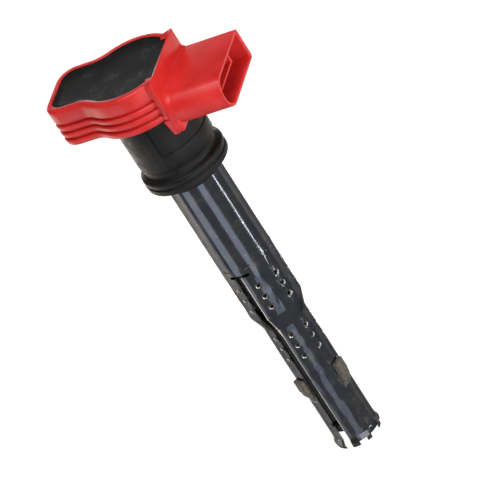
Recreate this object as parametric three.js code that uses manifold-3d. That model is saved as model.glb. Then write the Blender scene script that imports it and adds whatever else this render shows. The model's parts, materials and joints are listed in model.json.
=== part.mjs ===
// A plug-top ignition coil of the pencil type: a boat-shaped head with a four-way socket, a rubber
// seal that closes the plug well, a rolled steel tube round the windings, and a rubber boot with a
// sprung contact that reaches down to the spark plug.
// Millimetres. The axis of the coil is Z, with Z = 0 where the seal sits on the rim of the plug well.
// +Z leads out of the well, and the socket opens towards +X.
import * as THREE from "three";
import { mergeVertices } from "three/addons/utils/BufferGeometryUtils.js";
import Module from "manifold-3d";

const wasm = await Module();
wasm.setup();

// ---------------------------------------------------------------------------------------------
// Driving dimensions
// ---------------------------------------------------------------------------------------------

const GAP = 0.3; // between pieces that touch in the real coil
const ROUND = 36; // sides of the large round pieces
const SMALL_ROUND = 16; // sides of the small round pieces
const SPOOL_ROUND = 28; // sides of the spools and windings

// Head: a round pan over the tube with a narrower lobe that points away from the socket
const HEAD_TOP = 45.9;
const HEAD_BOTTOM = 30.2;
const HEAD_RADIUS = 20;
const HEAD_WALL = 2.6;
const HEAD_FLOOR = 2.2;
const LOBE_HALF_WIDTH = 14;
const LOBE_END_X = -31.2;
const LOBE_CORNER = 7.5;
const LOBE_BLEND = 10; // hollow radius between the round pan and the lobe
const GROOVE_COUNT = 3;
const GROOVE_PITCH = 3.1;
const GROOVE_HEIGHT = 1.3;
const GROOVE_DEPTH = 1.2;
const RIB_HEIGHT = GROOVE_PITCH - GROOVE_HEIGHT;
const BOTTOM_RIB_HEIGHT = 2.4;
const NECK_BOTTOM = 8;
const NECK_OUTER = 12.6;
const NECK_INNER = 11.3;

// Socket insert: a flat plate that closes the head, with a D-shaped shroud
const PLATE_BACK_X = 11.5;
const PLATE_FACE_X = 14.6;
const PLATE_HALF_WIDTH = 17.2;
const PLATE_BOTTOM = 24.2;
const PLATE_CORNER = 1.2;
const FOOT_END_X = 16.7; // front of the foot that stands out under the shroud
const SHROUD_END_X = 36.5;
const SHROUD_HALF_WIDTH = 16.8;
const SHROUD_BOTTOM = 25.1;
const SHROUD_TOP = 38.1;
const SHROUD_WALL = 1.4;
const SHROUD_ROUND_CORNER = 6.3;
const SHROUD_SHARP_CORNER = 1.6;
const SOCKET_BASE_X = 15.6; // face of the socket's bottom, where the pins stand out
const POCKET_DEPTH = 2.3; // how far the fill reaches into the back of the plate
const POCKET_HALF_WIDTH = 11.6;
const POCKET_BOTTOM = 34.6;
const KEY_RIB_WIDTH = 1.4;
const KEY_RIB_HEIGHT = 3.2;
const KEY_RIB_Y = 2.4;
const LATCH_SHELF_TOP = 34.2; // the shelf under the channel that the cable plug's latch slides into
const LATCH_SHELF_THICK = 0.7;

// Pins: one bent strip each, from the socket to the driver board
const PIN_COUNT = 4;
const PIN_PITCH = 5.4;
const PIN_WIDTH = 2.2;
const PIN_THICK = 0.8;
const PIN_Z = 31.6;
const PIN_TIP_X = 29.5;
const PIN_RISER_X = 13;
const PIN_INNER_Z = 36.8;
const PIN_INNER_END_X = -12.9;

// Fill and driver, inside the head
const FILL_TOP = 45.3;
const FILL_BOTTOM = 41;
const SPREADER = { x: -19.5, y: 0, z: 33.4, sx: 15, sy: 17, sz: 1.2 };
const BOARD = { x: -19.3, y: 0, z: 35.0, sx: 14, sy: 18.4, sz: 1.0 };
const TRANSISTOR = { x: -21, y: -2.6, z: 37.2, sx: 9.2, sy: 8.6, sz: 2.6 };
const CHIP = { x: -21.5, y: 5, z: 36.6, sx: 5, sy: 4, sz: 1.4 };
const CAPACITOR = { x: -15.6, sx: 1.6, sy: 2.4, sz: 1.3, z: 36.5 };
const CAPACITOR_YS = [-5.4, 0.1, 5.4];

// Rubber seal
const SEAL_RADIUS = 15;
const SEAL_BAND_RADIUS = 15.4;
const SEAL_WAIST_RADIUS = 14.3;
const SEAL_LIP_RADIUS = 16.4;
const SEAL_STEP_Z = 16.2;
const SEAL_WAIST_Z = 7.9;
const SEAL_LIP_Z = [4.6, 1.5]; // middles of the two lips
const SEAL_LIP_ROUND = 1.5;
const SEAL_BOTTOM = -2.5;
const SEAL_BOTTOM_RADIUS = 12.3;
const SEAL_STRIP_WIDTH = 4;
const SEAL_STRIP_RISE = 0.6;

// Steel tube: two rolled layers. The outer one is slit from a cross slot down to its tip
const TUBE_RADIUS = 11;
const TUBE_LOWER_RADIUS = 8.9;
const SHEET = 0.5;
const TUBE_TOP = 29.6;
const NECK_START_Z = -64.6;
const NECK_END_Z = -71.7;
const TUBE_TIP = -131.2;
const SLIT_ANGLE = -98;
const SLIT_WIDTH = 2.9;
const CROSS_SLOT = { angle: -94, width: 8, height: 0.9, z: -44 };
const INNER_LAYER_BOTTOM = -42;
const HOLE_RADIUS = 0.9;
const HOLE_COLUMNS = 8;
const HOLE_FIRST_ANGLE = -115.5;
const HOLE_ROWS = 3;
const HOLE_PITCH = 5.12;
const HOLE_TOP_ROWS = [-50.2, -76.1]; // one group above the neck and one below
const CRIMP_Z = -41;
const CRIMP = { width: 2.6, height: 1.1, depth: 0.22 };

// Windows through which pads of the rubber boot stand out, and the crown of fingers at the tip
const WINDOW_ANGLES = [-8, 112, -128];
const WINDOW = { width: 5.3, top: -96.6, bottom: -107.4 };
const PAD = { width: 4.7, top: -97.8, bottom: -106.2, radius: 10.4 };
const CROWN_HEIGHT = 4;
const CROWN_FLARE = 0.8;
const NOTCH_DEPTH = 1.8;
const NARROW_NOTCH = 3.1;
const WIDE_NOTCH = 4.6;
const NOTCH_PAIR_ANGLES = [-61, 14, 89, 164]; // of each narrow notch
const NOTCH_PAIR_STEP = 36; // from a narrow notch to the wide one beside it

// Coil case with its nozzle
const CASE_OUTER = 9.5;
const CASE_INNER = 8.5;
const CASE_TOP = 34.2;
const CASE_FLANGE = 10.9;
const CASE_FLANGE_HEIGHT = 1.2;
const CASE_SHOULDER_Z = -60.5;
const NOZZLE_TOP_Z = -66.8;
const NOZZLE_BOTTOM_Z = -78;
const NOZZLE_OUTER = 5.6;
const NOZZLE_BORE = 3.1;

// Windings, from the outside in
const PRIMARY = { flange: 8.2, wire: 7.9, tube: 7, bore: 6.4, top: 33.4, bottom: -57 };
const SECONDARY = { flange: 6.1, wire: 5.9, wireLow: 5.4, tube: 4.7, bore: 4.15, top: 34.4, bottom: -59.4 };
const FLANGE_THICK = 1.2;
const CORE_RADIUS = 3.5;
const CORE_TOP = 26;
const CORE_BOTTOM = -50;
const CORE_STEPS = 5; // strip widths on each side of the middle strip
const SLEEVE = { outer: 3.95, inner: 3.65 };
const MAGNET_HEIGHT = 4;
const BUFFER_HEIGHT = 2;
const LEAD_RADIUS = 0.4;
const LEAD_ANGLES = [134, 226];

// High-voltage path below the windings
const TERMINAL = { top: -60, disc: 3.4, thick: 1, stem: 0.9, foot: 2.4, bottom: -67 };
const RESISTOR = { top: -67.3, bottom: -79.5, body: 2.2, cap: 2.6, capHeight: 2.2 };
const SPRING = { top: -79.8, bottom: -94, radius: 2.25, wire: 0.35, turns: 6 };
const CUP = { top: -94.3, bottom: -99.4, radius: 3, stem: 1.2, stemTop: -87.5, dish: 2.2, dishDepth: 1.8 };

// Rubber boot
const BOOT_OUTER = 8.1;
const BOOT_TOP = -67.3;
const BOOT_BOTTOM = -124;
const BOOT_SOCKET = 5.9;
const BOOT_SOCKET_BOTTOM = -78.4;
const BOOT_PASSAGE = 3.45;
const BOOT_PASSAGE_BOTTOM = -98;
const BOOT_BORE = 5.1;
const BOOT_BORE_TOP = -99.8;
const BOOT_MOUTH = 6.1;
const BOOT_MOUTH_HEIGHT = 2;
const VENT = { angle: -103, z: -119.5, radius: 1.25, stretch: 1.35 };

// ---------------------------------------------------------------------------------------------
// Helpers
// ---------------------------------------------------------------------------------------------

const radians = THREE.MathUtils.degToRad;
const point = (x, y) => new THREE.Vector2(x, y);

// A three.js geometry as a solid that can be joined and cut
function solid(geometry) {
  const bare = geometry.clone();
  bare.deleteAttribute("normal");
  bare.deleteAttribute("uv");
  const merged = mergeVertices(bare, 1e-4);
  return new wasm.Manifold(
    new wasm.Mesh({
      numProp: 3,
      vertProperties: new Float32Array(merged.attributes.position.array),
      triVerts: new Uint32Array(merged.index.array),
    }),
  );
}

// Joins any number of solids
function join(first, ...others) {
  return others.reduce((sum, other) => sum.add(other), first);
}

// Cuts any number of solids out of the first
function cut(first, ...others) {
  return others.reduce((rest, other) => rest.subtract(other), first);
}

// Revolves a profile of (radius, z) points, listed counter-clockwise, about the Z axis
function revolve(profile, sides = ROUND) {
  const closed = [...profile, profile[0].clone()];
  const geometry = new THREE.LatheGeometry(closed, sides);
  geometry.rotateX(Math.PI / 2);
  return solid(geometry);
}

// A pipe or, with no inner radius, a plain cylinder between two heights
function pipe(outer, inner, bottom, top, sides = ROUND) {
  return revolve([point(inner, bottom), point(outer, bottom), point(outer, top), point(inner, top)], sides);
}

// Extrudes a shape drawn in X and Y from one height to another
function prism(shape, bottom, top, curveSegments = 7) {
  const options = { depth: top - bottom, bevelEnabled: false, curveSegments };
  const geometry = new THREE.ExtrudeGeometry(shape, options);
  geometry.translate(0, 0, bottom);
  return solid(geometry);
}

// Extrudes a shape drawn in Y and Z along X
function prismAlongX(shape, start, end, curveSegments = 6) {
  const options = { depth: end - start, bevelEnabled: false, curveSegments };
  const geometry = new THREE.ExtrudeGeometry(shape, options);
  const turn = new THREE.Matrix4().makeBasis(
    new THREE.Vector3(0, 1, 0),
    new THREE.Vector3(0, 0, 1),
    new THREE.Vector3(1, 0, 0),
  );
  geometry.applyMatrix4(turn);
  geometry.translate(start, 0, 0);
  return solid(geometry);
}

// A box between two opposite corners
function block(low, high) {
  const size = high.map((value, axis) => value - low[axis]);
  const geometry = new THREE.BoxGeometry(...size);
  geometry.translate(...low.map((value, axis) => value + size[axis] / 2));
  return solid(geometry);
}

// A box given by its centre and sizes
function centred({ x, y, z, sx, sy, sz }) {
  return block([x - sx / 2, y - sy / 2, z - sz / 2], [x + sx / 2, y + sy / 2, z + sz / 2]);
}

// The room that the socket insert takes out of the neck and the seal, above the hollow in its plate
function insertRoom() {
  return block(
    [PLATE_BACK_X - GAP, -HEAD_RADIUS, SHROUD_BOTTOM - GAP],
    [SHROUD_END_X, HEAD_RADIUS, HEAD_BOTTOM + 1],
  );
}

// A box that stands across the wall of the tube at an angle, for cutting slots and windows
function wallBox(angle, width, bottom, top, innerRadius = 5, outerRadius = 20) {
  return block([innerRadius, -width / 2, bottom], [outerRadius, width / 2, top]).rotate([0, 0, angle]);
}

const root = new THREE.Group();
root.name = "ignition_coil";

// Adds a finished solid to the group as a named mesh of its own material
function addPiece(name, shape, color, roughness, metalness = 0) {
  const { numProp, vertProperties, triVerts } = shape.getMesh();
  const positions = new Float32Array((vertProperties.length / numProp) * 3);
  for (let vertex = 0; vertex < positions.length / 3; vertex++) {
    positions.set(vertProperties.subarray(vertex * numProp, vertex * numProp + 3), vertex * 3);
  }
  const geometry = new THREE.BufferGeometry();
  geometry.setAttribute("position", new THREE.BufferAttribute(positions, 3));
  geometry.setIndex(new THREE.BufferAttribute(new Uint32Array(triVerts), 1));
  geometry.computeVertexNormals();
  const mesh = new THREE.Mesh(geometry, new THREE.MeshStandardMaterial({ color, roughness, metalness }));
  mesh.name = name;
  root.add(mesh);
}

// ---------------------------------------------------------------------------------------------
// Head
// ---------------------------------------------------------------------------------------------

const blendX = -Math.sqrt((HEAD_RADIUS + LOBE_BLEND) ** 2 - (LOBE_HALF_WIDTH + LOBE_BLEND) ** 2);
const blendY = LOBE_HALF_WIDTH + LOBE_BLEND;
const blendAngle = Math.atan2(blendY, blendX);

// Plan of the head, drawn inwards by an inset and cut off square where the socket insert begins
function headPlan(inset, cutX) {
  const radius = HEAD_RADIUS - inset;
  const blend = LOBE_BLEND + inset;
  const corner = LOBE_CORNER - inset;
  const cornerX = LOBE_END_X + LOBE_CORNER;
  const cornerY = LOBE_HALF_WIDTH - LOBE_CORNER;
  const cutAngle = Math.acos(cutX / radius);
  const plan = new THREE.Shape();
  plan.absarc(0, 0, radius, cutAngle, blendAngle, false);
  plan.absarc(blendX, blendY, blend, blendAngle - Math.PI, -Math.PI / 2, true);
  plan.absarc(cornerX, cornerY, corner, Math.PI / 2, Math.PI, false);
  plan.absarc(cornerX, -cornerY, corner, Math.PI, 1.5 * Math.PI, false);
  plan.absarc(blendX, -blendY, blend, Math.PI / 2, Math.PI - blendAngle, true);
  plan.absarc(0, 0, radius, -blendAngle, -cutAngle, false);
  plan.closePath();
  return plan;
}

// The red pan: ribbed walls, a floor with a hole for the coil, and a neck that carries the seal
function headHousing() {
  const cutX = PLATE_BACK_X - GAP;
  let pan = prism(headPlan(0, cutX), HEAD_BOTTOM, HEAD_TOP);
  for (let index = 0; index < GROOVE_COUNT; index++) {
    const bottom = HEAD_BOTTOM + BOTTOM_RIB_HEIGHT + index * (GROOVE_HEIGHT + RIB_HEIGHT);
    const ring = prism(headPlan(-1, cutX), bottom, bottom + GROOVE_HEIGHT);
    const kept = prism(headPlan(GROOVE_DEPTH, cutX), bottom - 1, bottom + GROOVE_HEIGHT + 1);
    pan = cut(pan, cut(ring, kept));
  }
  const hollow = prism(headPlan(HEAD_WALL, cutX + 1), HEAD_BOTTOM + HEAD_FLOOR, HEAD_TOP + 1);
  const neck = pipe(NECK_OUTER, NECK_INNER, NECK_BOTTOM, HEAD_BOTTOM + 0.5);
  const coilHole = pipe(CASE_OUTER + GAP, 0, HEAD_BOTTOM - 1, HEAD_BOTTOM + HEAD_FLOOR + 1);
  const neckHole = pipe(NECK_INNER, 0, NECK_BOTTOM - 1, HEAD_BOTTOM);
  return cut(join(pan, cut(neck, insertRoom())), hollow, coilHole, neckHole);
}

// The socket insert's plate, with the lower corners rounded
function platePlan() {
  const plan = new THREE.Shape();
  plan.moveTo(PLATE_HALF_WIDTH, HEAD_TOP);
  plan.lineTo(-PLATE_HALF_WIDTH, HEAD_TOP);
  const cornerY = PLATE_HALF_WIDTH - PLATE_CORNER;
  const cornerZ = PLATE_BOTTOM + PLATE_CORNER;
  plan.absarc(-cornerY, cornerZ, PLATE_CORNER, Math.PI, 1.5 * Math.PI);
  plan.absarc(cornerY, cornerZ, PLATE_CORNER, 1.5 * Math.PI, 2 * Math.PI);
  plan.closePath();
  return plan;
}

// The D-shaped section of the shroud, round at -Y and square at +Y, drawn inwards by an inset
function shroudPlan(inset) {
  const left = inset - SHROUD_HALF_WIDTH;
  const right = SHROUD_HALF_WIDTH - inset;
  const bottom = SHROUD_BOTTOM + inset;
  const top = SHROUD_TOP - inset;
  const large = SHROUD_ROUND_CORNER - inset;
  const small = Math.max(SHROUD_SHARP_CORNER - inset, 0.4);
  const plan = new THREE.Shape();
  plan.absarc(right - small, top - small, small, 0, Math.PI / 2);
  plan.absarc(left + large, top - large, large, Math.PI / 2, Math.PI);
  plan.absarc(left + large, bottom + large, large, Math.PI, 1.5 * Math.PI);
  plan.absarc(right - small, bottom + small, small, 1.5 * Math.PI, 2 * Math.PI);
  plan.closePath();
  return plan;
}

const pinYs = Array.from({ length: PIN_COUNT }, (_, index) => (index - (PIN_COUNT - 1) / 2) * PIN_PITCH);

// Plate and shroud in one moulding, with slots for the pins and a hollow round the seal
function connectorBody() {
  const plate = prismAlongX(platePlan(), PLATE_BACK_X, PLATE_FACE_X);
  const shroud = prismAlongX(shroudPlan(0), PLATE_FACE_X - 0.5, SHROUD_END_X);
  const foot = block(
    [PLATE_FACE_X - 0.5, -SHROUD_HALF_WIDTH, PLATE_BOTTOM],
    [FOOT_END_X, SHROUD_HALF_WIDTH, SHROUD_BOTTOM + 1],
  );
  const socket = prismAlongX(shroudPlan(SHROUD_WALL), SOCKET_BASE_X, SHROUD_END_X + 1);
  const ribTop = SHROUD_TOP - SHROUD_WALL / 2;
  const keyRib = block(
    [SOCKET_BASE_X - 0.5, KEY_RIB_Y - KEY_RIB_WIDTH / 2, SHROUD_TOP - SHROUD_WALL - KEY_RIB_HEIGHT],
    [SHROUD_END_X - 0.4, KEY_RIB_Y + KEY_RIB_WIDTH / 2, ribTop],
  );
  const latchShelf = block(
    [SOCKET_BASE_X - 0.5, 1 - SHROUD_HALF_WIDTH, LATCH_SHELF_TOP - LATCH_SHELF_THICK],
    [SHROUD_END_X - 0.4, KEY_RIB_Y, LATCH_SHELF_TOP],
  );
  const fillPocket = block(
    [PLATE_BACK_X - 1, -POCKET_HALF_WIDTH, POCKET_BOTTOM],
    [PLATE_BACK_X + POCKET_DEPTH, POCKET_HALF_WIDTH, HEAD_TOP + 1],
  );
  const sealHollow = pipe(SEAL_RADIUS + GAP, 0, PLATE_BOTTOM - 1, SHROUD_BOTTOM);
  const pinSlots = pinYs.flatMap((y) => [
    block(
      [PLATE_BACK_X - 1, y - PIN_WIDTH / 2 - GAP, PIN_Z - PIN_THICK / 2 - GAP],
      [PIN_RISER_X + PIN_THICK / 2 + GAP, y + PIN_WIDTH / 2 + GAP, POCKET_BOTTOM + 1],
    ),
    block(
      [PIN_RISER_X, y - PIN_WIDTH / 2 - GAP, PIN_Z - PIN_THICK / 2 - GAP],
      [SOCKET_BASE_X + 1, y + PIN_WIDTH / 2 + GAP, PIN_Z + PIN_THICK / 2 + GAP],
    ),
  ]);
  const shell = cut(join(plate, shroud, foot), socket);
  return cut(join(shell, keyRib, latchShelf), fillPocket, sealHollow, ...pinSlots);
}

// One pin: a strip that runs from the socket through the plate, up and across to the board
function terminalPin(y) {
  const half = PIN_THICK / 2;
  const side = new THREE.Shape([
    point(PIN_TIP_X - 1, PIN_Z - half),
    point(PIN_TIP_X, PIN_Z - half / 3),
    point(PIN_TIP_X, PIN_Z + half / 3),
    point(PIN_TIP_X - 1, PIN_Z + half),
    point(PIN_RISER_X + half, PIN_Z + half),
    point(PIN_RISER_X + half, PIN_INNER_Z + half),
    point(PIN_INNER_END_X, PIN_INNER_Z + half),
    point(PIN_INNER_END_X, PIN_INNER_Z - half),
    point(PIN_RISER_X - half, PIN_INNER_Z - half),
    point(PIN_RISER_X - half, PIN_Z - half),
  ]);
  return prism(side, -PIN_WIDTH / 2, PIN_WIDTH / 2).rotate([90, 0, 0]).translate([0, y, 0]);
}

// The resin fill: its top skin, which follows the pan and reaches into the plate's pocket
function potting() {
  const pan = prism(headPlan(HEAD_WALL + GAP, PLATE_BACK_X - GAP), FILL_BOTTOM, FILL_TOP);
  const tongue = block(
    [PLATE_BACK_X - 2, GAP - POCKET_HALF_WIDTH, FILL_BOTTOM],
    [PLATE_BACK_X + POCKET_DEPTH - GAP, POCKET_HALF_WIDTH - GAP, FILL_TOP],
  );
  return join(pan, tongue);
}

// ---------------------------------------------------------------------------------------------
// Seal
// ---------------------------------------------------------------------------------------------

// Points of a round lip, from its lower edge round to its upper edge
function lipArc(middleZ, fromDegrees, toDegrees, steps) {
  const middleRadius = SEAL_LIP_RADIUS - SEAL_LIP_ROUND;
  return Array.from({ length: steps + 1 }, (_, step) => {
    const angle = radians(fromDegrees + ((toDegrees - fromDegrees) * step) / steps);
    const outwards = SEAL_LIP_ROUND * Math.cos(angle);
    return point(middleRadius + outwards, middleZ + SEAL_LIP_ROUND * Math.sin(angle));
  });
}

function wellSeal() {
  const tubeFit = TUBE_RADIUS + GAP;
  const neckFit = NECK_OUTER + GAP;
  const [upperLip, lowerLip] = SEAL_LIP_Z;
  const top = HEAD_BOTTOM - GAP;
  const profile = [
    point(tubeFit, SEAL_BOTTOM),
    point(SEAL_BOTTOM_RADIUS - 0.5, SEAL_BOTTOM),
    point(SEAL_BOTTOM_RADIUS, SEAL_BOTTOM + 1),
    point(SEAL_BOTTOM_RADIUS + 0.3, 0),
    ...lipArc(lowerLip, -90, 75, 6),
    ...lipArc(upperLip, -75, 100, 6),
    point(SEAL_WAIST_RADIUS, SEAL_WAIST_Z - 1.2),
    point(SEAL_WAIST_RADIUS, SEAL_WAIST_Z + 0.8),
    point(SEAL_BAND_RADIUS, SEAL_WAIST_Z + 2.6),
    point(SEAL_BAND_RADIUS, SEAL_STEP_Z - 0.5),
    point(SEAL_RADIUS, SEAL_STEP_Z),
    point(SEAL_RADIUS, top),
    point(neckFit, top),
    point(neckFit, NECK_BOTTOM - GAP),
    point(tubeFit, NECK_BOTTOM - GAP),
  ];
  const body = revolve(profile);
  const stripFoot = SEAL_WAIST_RADIUS - 0.8;
  const stripFace = SEAL_RADIUS + SEAL_STRIP_RISE;
  const strips = [-90, 90].map((angle) =>
    wallBox(angle, SEAL_STRIP_WIDTH, SEAL_WAIST_Z + 1.2, top, stripFoot, stripFace),
  );
  return cut(join(body, ...strips), insertRoom());
}

// ---------------------------------------------------------------------------------------------
// Steel tube
// ---------------------------------------------------------------------------------------------

// Wall of the outer layer: wide above the neck, narrow below it, flared at the crown
function tubeWall() {
  const crownTop = TUBE_TIP + CROWN_HEIGHT;
  const flared = TUBE_LOWER_RADIUS + CROWN_FLARE;
  return revolve([
    point(flared - SHEET, TUBE_TIP),
    point(flared, TUBE_TIP),
    point(flared, TUBE_TIP + 1.4),
    point(TUBE_LOWER_RADIUS, crownTop),
    point(TUBE_LOWER_RADIUS, NECK_END_Z),
    point(TUBE_RADIUS, NECK_START_Z),
    point(TUBE_RADIUS, TUBE_TOP),
    point(TUBE_RADIUS - SHEET, TUBE_TOP),
    point(TUBE_RADIUS - SHEET, NECK_START_Z),
    point(TUBE_LOWER_RADIUS - SHEET, NECK_END_Z),
    point(TUBE_LOWER_RADIUS - SHEET, crownTop),
    point(flared - SHEET, TUBE_TIP + 1.4),
  ]);
}

// Round punched holes in evenly spaced columns
function tubeHoles() {
  const holes = [];
  const columnStep = 360 / HOLE_COLUMNS;
  for (const topRow of HOLE_TOP_ROWS) {
    for (let column = 0; column < HOLE_COLUMNS; column++) {
      const angle = HOLE_FIRST_ANGLE + columnStep * column;
      for (let row = 0; row < HOLE_ROWS; row++) {
        const punch = pipe(HOLE_RADIUS, 0, 6, 14, 6).rotate([0, 90, 0]);
        holes.push(punch.translate([0, 0, topRow - row * HOLE_PITCH]).rotate([0, 0, angle]));
      }
    }
  }
  return holes;
}

// Shallow crimps that hold the outer layer on the inner one
function tubeCrimps() {
  const columnStep = 360 / HOLE_COLUMNS;
  return Array.from({ length: HOLE_COLUMNS }, (_, column) =>
    wallBox(
      HOLE_FIRST_ANGLE + columnStep * column,
      CRIMP.width,
      CRIMP_Z - CRIMP.height / 2,
      CRIMP_Z + CRIMP.height / 2,
      TUBE_RADIUS - CRIMP.depth,
    ),
  );
}

function outerShield() {
  const slit = wallBox(SLIT_ANGLE, SLIT_WIDTH, TUBE_TIP - 1, CROSS_SLOT.z);
  const crossSlot = wallBox(
    CROSS_SLOT.angle,
    CROSS_SLOT.width,
    CROSS_SLOT.z - CROSS_SLOT.height / 2,
    CROSS_SLOT.z + CROSS_SLOT.height / 2,
  );
  const windows = WINDOW_ANGLES.map((angle) => wallBox(angle, WINDOW.width, WINDOW.bottom, WINDOW.top));
  const notches = NOTCH_PAIR_ANGLES.flatMap((angle) => [
    wallBox(angle, NARROW_NOTCH, TUBE_TIP - 1, TUBE_TIP + NOTCH_DEPTH),
    wallBox(angle + NOTCH_PAIR_STEP, WIDE_NOTCH, TUBE_TIP - 1, TUBE_TIP + NOTCH_DEPTH),
  ]);
  return cut(tubeWall(), slit, crossSlot, ...windows, ...notches, ...tubeHoles(), ...tubeCrimps());
}

function innerShield() {
  const outer = TUBE_RADIUS - SHEET - 0.2;
  const layer = pipe(outer, outer - SHEET, INNER_LAYER_BOTTOM, TUBE_TOP);
  const slit = wallBox(SLIT_ANGLE + 180, SLIT_WIDTH, INNER_LAYER_BOTTOM - 1, TUBE_TOP + 1);
  return cut(layer, slit);
}

// ---------------------------------------------------------------------------------------------
// Coil
// ---------------------------------------------------------------------------------------------

function coilCase() {
  const flangeBottom = HEAD_BOTTOM + HEAD_FLOOR + GAP;
  return revolve([
    point(NOZZLE_BORE, NOZZLE_BOTTOM_Z),
    point(NOZZLE_OUTER, NOZZLE_BOTTOM_Z),
    point(NOZZLE_OUTER, NOZZLE_TOP_Z),
    point(CASE_OUTER, CASE_SHOULDER_Z),
    point(CASE_OUTER, flangeBottom),
    point(CASE_FLANGE, flangeBottom),
    point(CASE_FLANGE, flangeBottom + CASE_FLANGE_HEIGHT),
    point(CASE_OUTER, flangeBottom + CASE_FLANGE_HEIGHT),
    point(CASE_OUTER, CASE_TOP),
    point(CASE_INNER, CASE_TOP),
    point(CASE_INNER, CASE_SHOULDER_Z + 0.9),
    point(NOZZLE_BORE, NOZZLE_TOP_Z),
  ]);
}

// A spool: a thin tube with a flange at each end
function bobbin({ flange, tube, bore, top, bottom }) {
  return revolve(
    [
      point(bore, bottom),
      point(flange, bottom),
      point(flange, bottom + FLANGE_THICK),
      point(tube, bottom + FLANGE_THICK),
      point(tube, top - FLANGE_THICK),
      point(flange, top - FLANGE_THICK),
      point(flange, top),
      point(bore, top),
    ],
    SPOOL_ROUND,
  );
}

// The wire on a spool, as the closed pack that the turns make
function winding({ wire, wireLow = wire, tube, top, bottom }) {
  const clearance = GAP / 2;
  const low = bottom + FLANGE_THICK + clearance;
  const high = top - FLANGE_THICK - clearance;
  const inner = tube + clearance;
  const section = [point(inner, low), point(wireLow, low), point(wire, high), point(inner, high)];
  return revolve(section, SPOOL_ROUND);
}

// The core: flat strips of different widths stacked into a nearly round bar
function ironCore() {
  const outline = [];
  for (let step = 0; step < CORE_STEPS; step++) {
    const low = (step / CORE_STEPS) * CORE_RADIUS * 0.94;
    const high = ((step + 1) / CORE_STEPS) * CORE_RADIUS * 0.94;
    const width = Math.sqrt(CORE_RADIUS ** 2 - high ** 2);
    outline.push(point(width, low), point(width, high));
  }
  const mirroredX = outline.map(({ x, y }) => point(-x, y)).reverse();
  const upper = [...outline, ...mirroredX];
  const lower = upper.map(({ x, y }) => point(-x, -y));
  const plan = new THREE.Shape([...upper.slice(1, -1), ...lower.slice(1, -1)]);
  return prism(plan, CORE_BOTTOM, CORE_TOP);
}

// A length of enamelled wire that rises from the primary spool and bends over to the board
function primaryLead(degrees) {
  const angle = radians(degrees);
  const radius = (PRIMARY.wire + PRIMARY.tube) / 2;
  const foot = new THREE.Vector3(radius * Math.cos(angle), radius * Math.sin(angle), PRIMARY.top + GAP);
  const path = new THREE.CatmullRomCurve3([
    foot,
    foot.clone().add(new THREE.Vector3(-0.2, 0, 1.4)),
    foot.clone().add(new THREE.Vector3(-2.4, 0, 2.6)),
    new THREE.Vector3(BOARD.x + BOARD.sx / 2 - 1, foot.y, BOARD.z + BOARD.sz / 2 + LEAD_RADIUS + GAP),
  ]);
  const section = new THREE.Shape();
  section.absarc(0, 0, LEAD_RADIUS, 0, 2 * Math.PI);
  const options = { extrudePath: path, steps: 10, curveSegments: 4, bevelEnabled: false };
  return solid(new THREE.ExtrudeGeometry(section, options));
}

// ---------------------------------------------------------------------------------------------
// High-voltage path and boot
// ---------------------------------------------------------------------------------------------

function hvTerminal() {
  const { top, disc, thick, stem, foot, bottom } = TERMINAL;
  return revolve(
    [
      point(0, bottom),
      point(foot, bottom),
      point(foot, bottom + 0.7),
      point(stem, bottom + 0.7),
      point(stem, top - thick),
      point(disc, top - thick),
      point(disc, top),
      point(0, top),
    ],
    SMALL_ROUND,
  );
}

function suppressorResistor() {
  const { top, bottom, body, cap, capHeight } = RESISTOR;
  return revolve(
    [
      point(0, bottom),
      point(cap, bottom),
      point(cap, bottom + capHeight),
      point(body, bottom + capHeight),
      point(body, top - capHeight),
      point(cap, top - capHeight),
      point(cap, top),
      point(0, top),
    ],
    SMALL_ROUND,
  );
}

// Helix of round wire, a little short at both ends of the room it has
function contactSpring() {
  const { top, bottom, radius, wire, turns } = SPRING;
  class Helix extends THREE.Curve {
    getPoint(t, target = new THREE.Vector3()) {
      const angle = 2 * Math.PI * turns * t;
      const z = THREE.MathUtils.lerp(bottom + wire, top - wire, t);
      return target.set(radius * Math.cos(angle), radius * Math.sin(angle), z);
    }
  }
  const section = new THREE.Shape();
  section.absarc(0, 0, wire, 0, 2 * Math.PI);
  const options = { extrudePath: new Helix(), steps: turns * 11, curveSegments: 3, bevelEnabled: false };
  return solid(new THREE.ExtrudeGeometry(section, options));
}

// The sliding contact: a stem that guides the spring and a cup that rests on the plug's terminal
function contactCup() {
  const { top, bottom, radius, stem, stemTop, dish, dishDepth } = CUP;
  return revolve(
    [
      point(0, bottom + dishDepth),
      point(dish, bottom),
      point(radius, bottom),
      point(radius, top),
      point(stem, top),
      point(stem, stemTop + 0.5),
      point(stem - 0.5, stemTop),
      point(0, stemTop),
    ],
    SMALL_ROUND,
  );
}

// Pads that stand out of the boot through the windows of the tube: blunt above, tapered below
function bootPads() {
  const foot = BOOT_OUTER - 1;
  const { width, top, bottom, radius } = PAD;
  const ring = revolve([
    point(foot, bottom),
    point(BOOT_OUTER + 0.3, bottom),
    point(radius, bottom + 3),
    point(radius, top - 1.2),
    point(radius - 0.5, top - 0.3),
    point(radius - 1.2, top),
    point(foot, top),
  ]);
  return WINDOW_ANGLES.map((angle) => ring.intersect(wallBox(angle, width, bottom - 1, top + 1)));
}

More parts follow.
